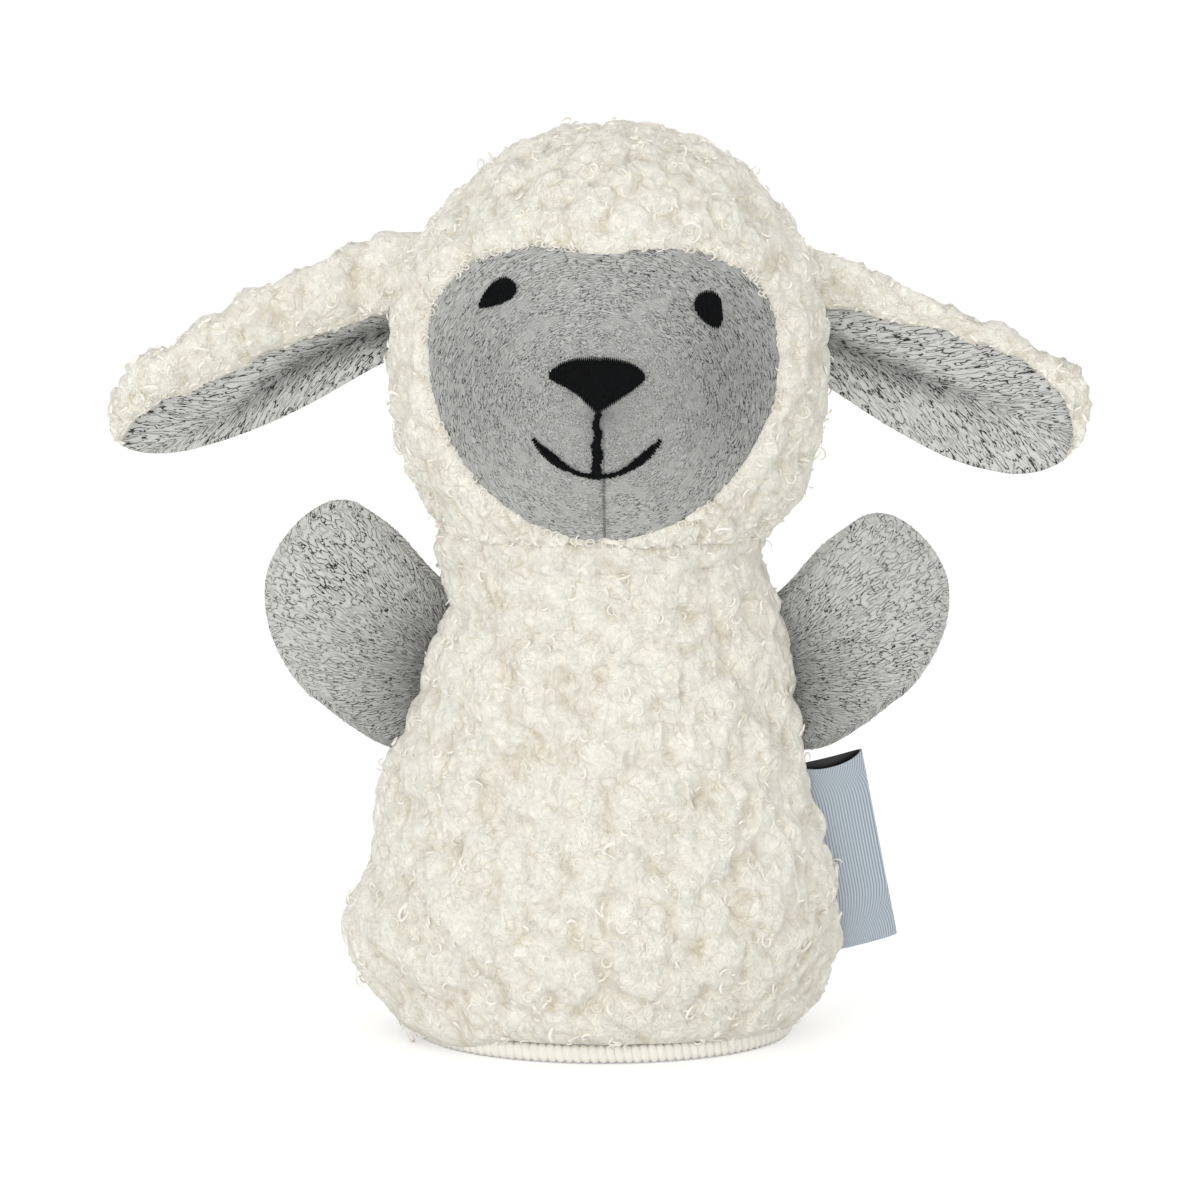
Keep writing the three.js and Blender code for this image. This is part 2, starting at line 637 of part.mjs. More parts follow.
function add(group, name, shape, colour) {
  const geometry = shape instanceof THREE.BufferGeometry ? shape : toGeometry(shape);
  const origin = group.getWorldPosition(new THREE.Vector3());
  geometry.translate(-origin.x, -origin.y, -origin.z);
  const mesh = new THREE.Mesh(geometry, new THREE.MeshStandardMaterial({ ...colours[colour], metalness: 0 }));
  mesh.name = name;
  group.add(mesh);
}

// Sleeve, and the neck whose middle the head nods, tilts and turns about
const puppet = new THREE.Group();
add(puppet, 'hem_overlock_thread', hemThread(), 'overlock');
add(puppet, 'body_front_panel', sleevePanel(-1), 'boucle');
add(puppet, 'body_back_panel', sleevePanel(1), 'boucle');

const pivot = new THREE.Vector3(0, 0, SLEEVE.neckHeight + NECK.length / 2);
const neck = moving(puppet, 'neck', { pivot, axis: new THREE.Vector3(1, 0, 0) });
add(neck, 'neck_gather', neckGather(), 'boucle');
const pocket = moving(neck, 'pocket', { pivot, axis: new THREE.Vector3(0, 1, 0) });
add(pocket, 'finger_pocket', fingerPocket(), 'tricot');

const head = moving(pocket, 'head', { pivot, axis: new THREE.Vector3(0, 0, 1) });
const hood = hoodPanels();
add(head, 'head_filling', headFilling(), 'filling');
add(head, 'head_hood_front', hood.front, 'boucle');
add(head, 'head_back_panel', hood.back, 'boucle');
add(head, 'face_panel', facePanel(), 'velboa');
add(head, 'left_eye', embroideryPad(eyeShape(EYES.left)), 'thread');
add(head, 'right_eye', embroideryPad(eyeShape(EYES.right)), 'thread');
add(head, 'nose', embroideryPad(noseShape()), 'thread');
add(head, 'mouth', embroideryPad(...mouthShapes()), 'thread');

Object.entries(EAR_SET).forEach(([name, set]) => {
  const ear = moving(head, `${name}_ear`, earHinge(set.side));
  const leaf = earPieces(set);
  add(ear, `${name}_ear_back`, leaf.back, 'boucle');
  add(ear, `${name}_ear_lining`, leaf.lining, 'velboa');

  const paw = moving(puppet, `${name}_paw`, pawHinge(set.side));
  const mitt = pawPieces(set.side);
  add(paw, `${name}_paw_front_panel`, mitt.front, 'velboa');
  add(paw, `${name}_paw_back_panel`, mitt.back, 'velboa');
  add(paw, `${name}_paw_filling`, mitt.filling, 'filling');
});

const label = moving(puppet, 'label', labelHinge());
add(label, 'side_label', sideLabel(), 'ribbon');

const middle = new THREE.Box3().setFromObject(puppet).getCenter(new THREE.Vector3());
puppet.position.set(-middle.x, -middle.y, 0);

export default puppet;
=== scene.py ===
import math

import bmesh
import bpy
import numpy as np
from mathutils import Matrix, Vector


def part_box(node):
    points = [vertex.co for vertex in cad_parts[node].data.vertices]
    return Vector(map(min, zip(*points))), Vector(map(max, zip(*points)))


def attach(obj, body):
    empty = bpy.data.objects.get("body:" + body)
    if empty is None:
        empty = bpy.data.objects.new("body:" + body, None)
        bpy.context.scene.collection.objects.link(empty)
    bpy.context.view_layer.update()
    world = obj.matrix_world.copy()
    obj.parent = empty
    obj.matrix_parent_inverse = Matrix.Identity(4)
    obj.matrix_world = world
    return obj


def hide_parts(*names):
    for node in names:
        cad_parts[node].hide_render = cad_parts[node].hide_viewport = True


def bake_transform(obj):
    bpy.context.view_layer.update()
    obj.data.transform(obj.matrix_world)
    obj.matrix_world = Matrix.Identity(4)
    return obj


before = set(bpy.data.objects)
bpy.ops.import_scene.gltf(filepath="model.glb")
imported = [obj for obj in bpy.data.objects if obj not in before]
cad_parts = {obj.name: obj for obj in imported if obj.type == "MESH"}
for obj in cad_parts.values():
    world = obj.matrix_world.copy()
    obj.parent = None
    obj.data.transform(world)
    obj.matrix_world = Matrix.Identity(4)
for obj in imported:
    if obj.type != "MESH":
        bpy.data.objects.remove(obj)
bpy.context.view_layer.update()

# The camera looks at the face from a little above through a long lens, as in a catalogue picture.
CAMERA_RISE = math.radians(10)
CAMERA_AWAY = 1.0
VIEW_WIDTH = 0.18
VIEW_MIDDLE = (-0.0004, 0.002, 0.0662)

lens = bpy.data.cameras.new("camera")
lens.sensor_width = 36
lens.lens = lens.sensor_width * CAMERA_AWAY / VIEW_WIDTH
camera = bpy.data.objects.new("camera", lens)
camera.location = (
    VIEW_MIDDLE[0],
    VIEW_MIDDLE[1] - CAMERA_AWAY * math.cos(CAMERA_RISE),
    VIEW_MIDDLE[2] + CAMERA_AWAY * math.sin(CAMERA_RISE),
)
camera.rotation_euler = (math.pi / 2 - CAMERA_RISE, 0, 0)
bpy.context.scene.collection.objects.link(camera)
bpy.context.scene.camera = camera


# Hem: the raw edge of the sleeve, bound by cream overlock thread. The stitches wrap the edge close
# together, a little slanted.
# Shapes are worked out in millimetres from the middle of the hem, with Y from the side seams.
MM = 0.001
SHARP_EDGE = math.radians(70)
MAP = "OFBake"  # the map that each piece's surface is laid out in
HEM_LOW, HEM_HIGH = (np.array(corner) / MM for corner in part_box("hem_overlock_thread"))
MIDDLE = (HEM_LOW[0] + HEM_HIGH[0]) / 2
SEAM = (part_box("body_front_panel")[1].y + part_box("body_back_panel")[0].y) / 2 / MM
HEM_HALF_WIDTH = (HEM_HIGH[0] - HEM_LOW[0]) / 2
HEM_HALF_DEPTH = (HEM_HIGH[1] - HEM_LOW[1]) / 2
HEM_HEIGHT = HEM_HIGH[2]
HEM_THICKNESS = 2.4
HEM_ROUNDING = 0.7
STITCH_PITCH = 1.3
STITCH_RADIUS = 0.8
STITCH_SLANT = 0.7
STITCH_STATIONS = 15


def colour(red, green, blue):
    """A colour given as 0 to 255 in the picture's own scale, as the linear numbers of a shader."""
    share = np.array([red, green, blue]) / 255
    linear = np.where(share > 0.04045, ((share + 0.055) / 1.055) ** 2.4, share / 12.92)
    return (*linear.tolist(), 1.0)


def new_material(name, **plain):
    """A material with one Principled shader, whose own sockets take the plain values."""
    made = bpy.data.materials.new(name)
    made.use_nodes = True
    shader = made.node_tree.nodes["Principled BSDF"]
    for socket, value in plain.items():
        shader.inputs[socket.replace("_", " ")].default_value = value
    return made, made.node_tree, shader


def node(tree, kind, values=None, **settings):
    """A new node with these settings; values gives each input a number, a colour or a socket."""
    made = tree.nodes.new(kind)
    for key, value in settings.items():
        setattr(made, key, value)
    for key, value in (values or {}).items():
        if isinstance(value, bpy.types.NodeSocket):
            tree.links.new(value, made.inputs[key])
        else:
            made.inputs[key].default_value = value
    return made


def mixed(tree, share, first, second):
    """A colour that goes from the first to the second as share goes from 0 to 1."""
    return node(tree, "ShaderNodeMix", {0: share, 6: first, 7: second}, data_type="RGBA").outputs[2]


def dyed(tree, shader, share, first, second):
    tree.links.new(mixed(tree, share, first, second), shader.inputs["Base Color"])


def maths(tree, operation, first, second=0.5, clamp=False):
    """The value of a Math node, kept between 0 and 1 by clamp."""
    made = node(tree, "ShaderNodeMath", {0: first, 1: second}, operation=operation)
    made.use_clamp = clamp
    return made.outputs[0]


def ramp(tree, value, start, end, first=0.0, last=1.0):
    """A value that goes from first to last as the given one goes from start to end."""
    return node(tree, "ShaderNodeMapRange", {0: value, 1: start, 2: end, 3: first, 4: last}).outputs[0]


def noise(tree, place, scale, detail=2.0, **more):
    """The value and the colour of a random field."""
    values = {"Vector": place, "Scale": scale, "Detail": detail, **more}
    return node(tree, "ShaderNodeTexNoise", values).outputs


def object_place(tree):
    return node(tree, "ShaderNodeTexCoord").outputs["Object"]


def mark(tree, name):
    return node(tree, "ShaderNodeAttribute", attribute_name=name).outputs["Fac"]


def raised(tree, shader, height, distance):
    """The shader's normal follows a height, given in metres at its full value."""
    bump = node(tree, "ShaderNodeBump", {"Height": height, "Distance": distance, "Strength": 1.0})
    tree.links.new(bump.outputs[0], shader.inputs["Normal"])


def new_group(name, numbers, results):
    """An empty node group that takes a vector and these numbers, with the sockets inside it."""
    group = bpy.data.node_groups.new(name, "ShaderNodeTree")
    group.interface.new_socket("Vector", in_out="INPUT", socket_type="NodeSocketVector")
    for way, sockets in (("INPUT", numbers), ("OUTPUT", results)):
        for socket in sockets:
            group.interface.new_socket(socket, in_out=way, socket_type="NodeSocketFloat")
    return group, group.nodes.new("NodeGroupInput").outputs, group.nodes.new("NodeGroupOutput").inputs


def placed(tree, group, *numbers):
    """A node group on a material's own Object coordinates, with its numbers; gives its outputs."""
    values = {0: object_place(tree), **dict(enumerate(numbers, 1))}
    return node(tree, "ShaderNodeGroup", values, node_tree=group).outputs


def fibre_grain():
    """Node group: the uneven grain of spun or cut fibre, as a mask and as a height, which is the
    mean of a coarse field and a finer one."""
    group, given, result = new_group("fibre_grain", ["Per Metre"], ["Grain", "Height"])
    coarse = noise(group, given[0], given[1], Distortion=1.2)[0]
    fine = noise(group, given[0], maths(group, "MULTIPLY", given[1], 2.7), 3.0, Distortion=0.6)[0]
    halves = [maths(group, "MULTIPLY", field, 0.5) for field in (coarse, fine)]
    group.links.new(ramp(group, coarse, 0.32, 0.68), result[0])
    group.links.new(maths(group, "ADD", *halves), result[1])
    return group


grain_group = fibre_grain()


def fibre_material(name, per_metre, first, second, lift, **plain):
    """A material of one fibre: its colour and its height, lift metres at most, follow its grain."""
    made, tree, shader = new_material(name, **plain)
    grain, height = placed(tree, grain_group, per_metre)
    dyed(tree, shader, grain, first, second)
    raised(tree, shader, height, lift)
    return made


def grid_part(points, closed_columns=False, closed_rows=False, flip=False, caps=False, **marks):
    """A part on a grid of points, rows by columns: one quad between each four neighbours. caps
    closes the first and last column of closed rows with one flat face each."""
    rows, columns = points.shape[:2]
    row, column = np.mgrid[: rows - (not closed_rows), : columns - (not closed_columns)]
    corners = np.stack([(row, column), (row, column + 1), (row + 1, column + 1), (row + 1, column)])
    corners = corners[::-1] if flip else corners
    quads = (corners[:, 0] % rows) * columns + corners[:, 1] % columns
    spread = np.array([columns - (not closed_columns), rows - (not closed_rows)])
    places = np.stack([corners[:, 1], corners[:, 0]], -1) / spread * 0.96 + 0.02
    faces = [np.moveaxis(quads, 0, -1).reshape(-1, 4)]
    maps = [np.moveaxis(places, 0, 2).reshape(-1, 4, 2)]
    if caps:
        loop = np.arange(rows) * columns
        ends = np.stack([loop[::-1], loop + columns - 1])[:, :: -1 if flip else 1]
        turn = 2 * np.pi * np.arange(rows) / rows
        rim = 0.005 * (1 + np.stack([np.cos(turn), np.sin(turn)], -1))
        faces.append(ends)
        maps.append(np.stack([rim, rim + (0.98, 0)]))
    flat = {key: np.broadcast_to(value, (rows, columns)).ravel() for key, value in marks.items()}
    return {"points": points.reshape(-1, 3), "faces": faces, "maps": maps, "marks": flat}


def unit(vectors):
    return vectors / (np.linalg.norm(vectors, axis=-1, keepdims=True) + 1e-12)


def tube_part(path, width, up, sides=3, **marks):
    """Tapered tubes along paths, given as tubes by stations: a ring of points stands round each
    inner station at its width, turned from the vector up, and each end closes in a point."""
    count, stations = path.shape[:2]
    along = unit(np.gradient(path, axis=1))
    up = np.broadcast_to(up, path.shape)
    first = unit(up - (up * along).sum(-1, keepdims=True) * along)
    second = np.cross(along, first)
    turn = 2 * np.pi * np.arange(sides) / sides
    width = np.broadcast_to(width, (count, stations))[:, 1:-1, None, None]
    spoke = np.cos(turn)[:, None] * first[:, 1:-1, None] + np.sin(turn)[:, None] * second[:, 1:-1, None]
    rings = (path[:, 1:-1, None] + width * spoke).reshape(count, -1, 3)
    points = np.concatenate([path[:, :1], rings, path[:, -1:]], 1)
    each = points.shape[1]
    side = np.arange(sides)
    after = (side + 1) % sides
    ring = 1 + sides * np.arange(stations - 3)[:, None]
    quads = np.stack([ring + side, ring + after, ring + sides + after, ring + sides + side], -1)
    quads = quads.reshape(-1, 4)
    last = each - 1 - sides
    fans = np.concatenate([
        np.stack([0 * side, 1 + after, 1 + side], -1),
        np.stack([last + side, last + after, 0 * side + each - 1], -1),
    ])
    start = each * np.arange(count)[:, None, None]

    # The map gives each tube a cell of its own; faces that close a ring lie past its last column.
    station = np.concatenate([[0], np.repeat(np.arange(1, stations - 1), sides), [stations - 1]])
    spot = np.concatenate([[0], np.tile(side, stations - 2), [0]])
    across = math.ceil(math.sqrt(count))
    cell = np.stack([np.arange(count) % across, np.arange(count) // across], -1) / across
    place = np.stack([(spot + 0.5) / (sides + 0.5), (station + 0.3) / stations], -1) * 0.9 / across
    laid = cell[:, None] + place
    wrapped = laid + np.array([0.9 * sides / (sides + 0.5) / across, 0])
    maps = []
    for face in (quads, fans):
        lap = (spot[face] == 0) & (spot[face].max(-1, keepdims=True) == sides - 1)
        lap &= (station[face] > 0) & (station[face] < stations - 1)
        places = np.where(lap[None, ..., None], wrapped[:, face], laid[:, face])
        maps.append(places.reshape(-1, face.shape[1], 2))
    return {
        "points": points.reshape(-1, 3),
        "faces": [(start + quads).reshape(-1, 4), (start + fans).reshape(-1, 3)],
        "maps": maps,
        "marks": {key: np.repeat(value, each) for key, value in marks.items()},
    }


def make_piece(name, parts, material, merge=False):
    """One object from parts in millimetres; merge closes poles, where points lie in one place."""
    points = np.concatenate([part["points"] for part in parts])
    corners, sizes, maps = [], [], []
    start = 0
    for part in parts:
        for face, place in zip(part["faces"], part["maps"]):
            corners.append((face + start).ravel())
            sizes.append(np.full(len(face), face.shape[1]))
            maps.append(place.reshape(-1, 2))
        start += len(part["points"])
    corners, sizes = np.concatenate(corners), np.concatenate(sizes)
    mesh = bpy.data.meshes.new(name)
    mesh.vertices.add(len(points))
    mesh.vertices.foreach_set("co", ((points + (MIDDLE, SEAM, 0)) * MM).ravel())
    mesh.loops.add(len(corners))
    mesh.loops.foreach_set("vertex_index", corners)
    mesh.polygons.add(len(sizes))
    mesh.polygons.foreach_set("loop_start", np.concatenate([[0], np.cumsum(sizes)[:-1]]))
    mesh.update(calc_edges=True)
    mesh.uv_layers.new(name=MAP).data.foreach_set("uv", np.concatenate(maps).ravel())
    for key in sorted({key for part in parts for key in part["marks"]}):
        held = [part["marks"].get(key, np.zeros(len(part["points"]))) for part in parts]
        mesh.attributes.new(key, "FLOAT", "POINT").data.foreach_set("value", np.concatenate(held))
    if merge:
        work = bmesh.new()
        work.from_mesh(mesh)
        bmesh.ops.remove_doubles(work, verts=work.verts, dist=1e-7)
        work.to_mesh(mesh)
        work.free()
    mesh.shade_smooth()
    mesh.set_sharp_from_angle(angle=SHARP_EDGE)
    mesh.materials.append(material)
    made = bpy.data.objects.new(name, mesh)
    bpy.context.scene.collection.objects.link(made)
    return made


def belongs(piece, body, slot, *stands_for, fill=None):
    """A piece in the frame: it hangs on the body that it rides on and hides the CAD nodes that it stands for.
    The slot of its finish and how full it is are not used."""
    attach(piece, body)
    if stands_for:
        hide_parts(*stands_for)


def signed_power(base, power):
    return np.sign(base) * np.abs(base) ** power


def joined(x, y, z):
    return np.stack(np.broadcast_arrays(x, y, z), -1)


def all_round(count):
    return np.linspace(0, 2 * np.pi, count, endpoint=False)


def added_up(steps):
    """How far along a line each of its places lies, from the lengths of its steps."""
    return np.concatenate([np.zeros(steps[:1].shape), np.cumsum(steps, 0)])


def even_turns(half_width, half_depth, count):
    """Turns round an oval that lie the same way apart along its edge."""
    fine = np.linspace(0, 2 * np.pi, 2001)
    step = np.hypot(half_width * np.sin(fine), half_depth * np.cos(fine))
    run = added_up((step[1:] + step[:-1]) / 2)
    return np.interp(np.arange(count) / count * run[-1], run, fine)


def hem_section(turn, angle, shrink):
    """A point of the hem: a rounded upright section, at an angle round it, carried round an oval."""
    out, lift = signed_power(np.cos(angle), HEM_ROUNDING), signed_power(np.sin(angle), HEM_ROUNDING)
    inset = HEM_THICKNESS / 2 - (HEM_THICKNESS / 2 - shrink) * out
    height = HEM_HEIGHT / 2 + (HEM_HEIGHT / 2 - shrink) * lift
    x, y = (HEM_HALF_WIDTH - inset) * np.cos(turn), (HEM_HALF_DEPTH - inset) * np.sin(turn)
    return joined(x, y, height)


overlock_material = fibre_material(
    "overlock_thread", 2600, colour(250, 246, 235), colour(255, 253, 247), 0.00012,
    Roughness=0.8, Sheen_Weight=0.2)

stitch_count = round(np.pi * (HEM_HALF_WIDTH + HEM_HALF_DEPTH) / STITCH_PITCH)
stitch_turn = even_turns(HEM_HALF_WIDTH, HEM_HALF_DEPTH, stitch_count)[:, None]
angle = np.linspace(0.75 * np.pi, -1.25 * np.pi, STITCH_STATIONS)[None]
slant = STITCH_SLANT * np.linspace(-0.5, 0.5, STITCH_STATIONS)[None] * 2 * np.pi / stitch_count
stitches = tube_part(hem_section(stitch_turn + slant, angle, STITCH_RADIUS), STITCH_RADIUS, (0, 0, 1), 6)
edge_turn, edge_angle = np.meshgrid(
    even_turns(HEM_HALF_WIDTH, HEM_HALF_DEPTH, 120), all_round(16))
edge = hem_section(edge_turn, edge_angle, STITCH_RADIUS * 1.3)
edge = grid_part(edge, closed_columns=True, closed_rows=True)
hem = make_piece("hem_stitching", [edge, stitches], overlock_material)
belongs(hem, "sleeve", "overlock_thread", "hem_overlock_thread")


# Sleeve: a front and a back panel of curly off-white fleece, sewn together down both sides. The
# pile stands in soft clumps of curls on a knitted ground, which shows inside the sleeve.
PILE = 4.2
TUFT_DEPTH, TUFTS_AROUND, TUFT_APART, TUFT_EDGE = 1.4, 12, 14.4, 5.0
CLUMP_SIZE, CLUMP_DEPTH = 5.2, 1.15
LOCK_SIZE, LOCK_DEPTH = 1.7, 0.55
SEAM_DEPTH, SEAM_WIDTH, SEAM_REACH = 0.9, 1.1, 26.0
PILE_SEED = 3
GRID_STEP = 0.34
SLEEVE_FOOT, FOOT_ROUNDING = 2.9, 3.6
SIDE_DROOP, DROOP_HEIGHT = (2.3, 1.3), 6.0
CURL_STATIONS = 9
SLEEVE_STATIONS = np.array([
    # height, half-width, half-depth in front and behind, and how far the middle leans aside
    (3.3, 31.5, 25.1, 25.1, 0.0),
    (13.5, 36.4, 28.4, 28.4, 0.0),
    (43.0, 30.2, 24.4, 24.4, 0.0),
    (68.4, 24.2, 20.6, 20.6, -0.8),
    (73.2, 23.9, 20.9, 20.4, -1.1),
    (76.5, 24.4, 22.0, 21.2, -0.7),
    (79.5, 22.9, 20.4, 20.2, 0.0),
])
ZONES = (60.0, 68.0, 73.5, 79.5)
SIDE_BULGE = (
    # side, how far out, middle height and spread; the paws' roots press the side in and out
    (-1, 2.4, 14.5, 9.0), (1, -1.6, 22.0, 11.0), (-1, -1.1, 27.0, 5.0), (-1, 2.4, 39.0, 7.5),
    (1, 3.1, 61.0, 10.5), (-1, -2.2, 66.5, 4.0),
)
CURLS_PER_MM2, STANDING_SHARE, LOOP_EVERY = 0.07, 0.16, 40
MIX = np.array([(127.1, 269.5, 113.5), (311.7, 183.3, 271.9), (74.7, 246.1, 124.6)])


def smooth_line(at, heights, sizes):
    """A smooth curve through stations: cubic pieces that take their slopes from the neighbours."""
    slopes = np.gradient(sizes, heights)
    low = np.clip(np.searchsorted(heights, at) - 1, 0, len(heights) - 2)
    span = heights[low + 1] - heights[low]
    t = (at - heights[low]) / span
    rise = sizes[low] * (1 + 2 * t) * (1 - t) ** 2 + sizes[low + 1] * t * t * (3 - 2 * t)
    return rise + span * (slopes[low] * t * (1 - t) ** 2 + slopes[low + 1] * t * t * (t - 1))


def wander(points, size, seed):
    """A smooth random field from about -1 to 1, with swells about as wide as size: the mean of
    sine waves that run in random directions."""
    draw = np.random.default_rng(seed)
    waves = draw.normal(size=(3, 9)) * 2 / size
    return 1.4 * np.sin(points @ waves + draw.uniform(0, 2 * np.pi, 9)).mean(-1)


def clumps(points, size, seed, soft):
    """How far each point lies from the nearest of a cloud with one point at random in each cell
    of a grid, in cells, blended softly from one to the next, and a random number of its own."""
    place = points / size
    home = np.floor(place)
    total = np.zeros(points.shape[:-1])
    own = total.copy()
    for step in np.ndindex(3, 3, 3):
        cell = home + step - 1
        chance = np.sin(cell @ MIX + seed) * 43758.5
        chance -= np.floor(chance)
        away = np.linalg.norm(cell + 0.1 + 0.8 * chance - place, axis=-1)
        weight = np.exp(-soft * 2 * away)
        total += weight
        own += weight * chance[..., 0]
    return -np.log(total) / (soft * 2), own / total


def curly_pile(points):
    """Height of the pile against its full height, and how deep in a crease each point lies, which the
    fleece's colour turns into painted shade: soft clumps that meet in creases, covered with winding locks,
    the zero lines of a random field."""
    drift = 1.1 * np.stack([wander(points, 3.4, PILE_SEED + k) for k in range(3)], -1)
    away, own = clumps(points + drift, CLUMP_SIZE, PILE_SEED, 9)
    lock = np.maximum(1 - np.abs(wander(points + drift, LOCK_SIZE, PILE_SEED + 5)) / 0.55, 0)
    rise = CLUMP_DEPTH * (0.4 - 2 * np.minimum(away, 0.68) ** 2 + 0.5 * (own - 0.5))
    rise = rise + LOCK_DEPTH * (lock - 0.45)
    crease = 0.3 * np.clip((away - 0.5) / 0.15, 0, 1) ** 1.5 * (1 - 0.5 * lock)
    return rise, crease + 0.2 * np.maximum(1 - 2.2 * lock, 0) ** 2


def smooth(low, high, at):
    """A share that goes from 0 at low to 1 at high, level at both."""
    share = np.clip((at - low) / (high - low), 0, 1)
    return share * share * (3 - 2 * share)


def tuft_dip(turn, phase):
    """How far the pile dips between its tufts, which stand staggered in rows, clear of a seam."""
    clear = smooth(0.18, 0.5, np.abs(np.sin(turn)))
    return TUFT_DEPTH / 2 * (1 - np.cos(TUFTS_AROUND * turn) * np.cos(phase)) * clear


def seam_dip(away):
    """How far the pile dips at a seam, as a bell curve of the way from it."""
    return SEAM_DEPTH * np.exp(-((away / SEAM_WIDTH) ** 2))


def rounded(share):
    """The quarter of a circle: 0 at a share of 0, upright there, and level from 1 on."""
    return np.sqrt(1 - (1 - np.clip(share, 0, 1)) ** 2)


def sleeve_point(turn, height, rise):
    """A point of the sleeve or neck: ovals that follow smooth lines up the body, grown by rise."""
    stations = SLEEVE_STATIONS.T
    half_width, front, back, lean = (smooth_line(height, stations[0], line) for line in stations[1:])
    for side, extra, at, spread in SIDE_BULGE:
        half_width = half_width + np.where(
            side * np.cos(turn) > 0, extra * np.cos(turn) ** 2 * np.exp(-(((height - at) / spread) ** 2)), 0)
    depth = np.where(np.sin(turn) < 0, front, back)
    return joined(lean + (half_width + rise) * np.cos(turn), (depth + rise) * np.sin(turn), height)


def fleece_sheet(outside, inside, crease, **closed):
    """A part that goes up outside and down inside, with the knitted ground marked as lining."""
    ground = np.zeros(inside.shape[:2])
    return grid_part(
        np.concatenate([outside, inside]), closed_rows=True, crease=np.concatenate([crease, ground]),
        lining=np.concatenate([np.zeros(crease.shape), ground + 1]), **closed)


def sleeve_fleece(turns, heights, **closed):
    """The fleece of the sleeve or neck between heights: curls outside, the knitted ground inside.
    The pile rounds in at its foot, over the hem."""
    turn, height = np.meshgrid(turns, heights)
    rise, crease = curly_pile(sleeve_point(turn, height, 0))
    low, high = SLEEVE_STATIONS[0, 0], SLEEVE_STATIONS[3, 0]
    inward = smooth(0, TUFT_EDGE, np.minimum(height - low, high - height))
    rise = rise - tuft_dip(turn, 2 * np.pi * (height - low) / TUFT_APART) * inward
    rise = rise - seam_dip(np.sin(turn) * SEAM_REACH)
    above = height - SLEEVE_FOOT
    outside = sleeve_point(turn, height, -PILE + (PILE + rise) * rounded(above / FOOT_ROUNDING))
    left, right = smooth(0.45, 0.75, -np.cos(turn)), np.maximum(np.cos(turn), 0) ** 2
    droop = SIDE_DROOP[0] * left + SIDE_DROOP[1] * right
    outside[..., 2] -= droop * np.clip(1 - above / DROOP_HEIGHT, 0, 1)
    turn, height = np.meshgrid(turns, heights[::6][::-1])
    return fleece_sheet(outside, sleeve_point(turn, height, -PILE - 0.25), crease, **closed)


def sprinkle(part, per_mm2, seed, keep=None):
    """Random places on a part's quads, so many to a square millimetre, with the normal there.
    keep is a test on the quads' middles."""
    draw = np.random.default_rng(seed)
    corner = part["points"][part["faces"][0]]
    cross = np.cross(corner[:, 2] - corner[:, 0], corner[:, 3] - corner[:, 1]) / 2
    area = np.linalg.norm(cross, axis=-1)
    if keep is not None:
        area = area * keep(corner.mean(1))
    chosen = draw.choice(len(area), round(per_mm2 * area.sum()), p=area / area.sum())
    a, b = draw.random((2, len(chosen), 1))
    corner = corner[chosen]
    low, high = (corner[:, left] * (1 - a) + corner[:, right] * a for left, right in ((0, 1), (3, 2)))
    place = low * (1 - b) + high * b
    return place, cross[chosen] / area[chosen, None], draw


def curls(place, normal, draw, radius=(0.5, 1.1), width=(0.12, 0.24), stand=(-25, 25)):
    """Curled locks: each turns part or all of the way round in a plane that leans out of the
    surface by stand degrees, winding inwards a little, and thins to both ends."""
    count = len(place)
    across = unit(np.cross(normal, draw.normal(size=(count, 3))))
    upward = np.cross(normal, across)
    lean = np.radians(draw.uniform(*stand, count))[:, None]
    plane = upward * np.cos(lean) + normal * np.sin(lean)
    pole = np.cross(across, plane)
    share = np.linspace(0, 1, CURL_STATIONS)
    start = draw.uniform(-2.2, -0.9, count)[:, None]
    angle = (start + np.radians(draw.uniform(130, 330, count))[:, None] * share)[..., None]
    size = draw.uniform(*radius, count)[:, None, None] * (1 - 0.45 * share[:, None])
    middle = (place + normal * (0.1 + 0.7 * size[:, 0] * np.sin(lean)))[:, None]
    spread = (draw.uniform(-0.5, 0.5, count)[:, None] * (share - 0.5))[..., None]
    path = middle + size * (np.cos(angle) * across[:, None] + np.sin(angle) * plane[:, None])
    path = path + spread * pole[:, None]
    path[..., 2] = np.maximum(path[..., 2], 0.3)
    thick = draw.uniform(*width, count)[:, None] * (0.45 + 0.55 * np.sin(np.pi * share))
    return tube_part(path, thick, pole[:, None], crease=draw.uniform(0.0, 0.45, count))


def vector_maths(tree, operation, first, second):
    socket = "Scale" if operation == "SCALE" else 1
    return node(tree, "ShaderNodeVectorMath", {0: first, socket: second}, operation=operation).outputs[0]


def soft_patches():
    """Node group: soft patches, 1 inside and 0 between them, where a random field goes from a
    start to an end."""
    group, given, result = new_group("soft_patches", ["Per Metre", "Start", "End"], ["Inside"])
    field = noise(group, given[0], given[1], 1.0)[0]
    group.links.new(ramp(group, field, given[2], given[3]), result[0])
    return group


patch_group = soft_patches()


def wound_locks(tree, per_metre, warp):
    """Small wound locks of pile: the cells of a grid that a random field has bent, each with strands of its
    own. Gives their height and a mask of the fine creases between them, shown in places, for painted shade."""
    place = object_place(tree)
    shift = vector_maths(tree, "SUBTRACT", noise(tree, place, per_metre * 0.7)[1], (0.5, 0.5, 0.5))
    place = vector_maths(tree, "ADD", place, vector_maths(tree, "SCALE", shift, warp))
    edge = node(tree, "ShaderNodeTexVoronoi", {"Vector": place, "Scale": per_metre},
                feature="DISTANCE_TO_EDGE").outputs[0]
    strand = noise(tree, place, per_metre * 4.5, 3.0, Distortion=2.0)[0]
    height = maths(tree, "ADD", ramp(tree, edge, 0.0, 0.4), maths(tree, "MULTIPLY", strand, 1.1))
    inside = placed(tree, patch_group, 300.0, 0.5, 0.64)[0]
    return height, maths(tree, "MULTIPLY", ramp(tree, edge, 0.01, 0.07, 1.0, 0.0), inside)


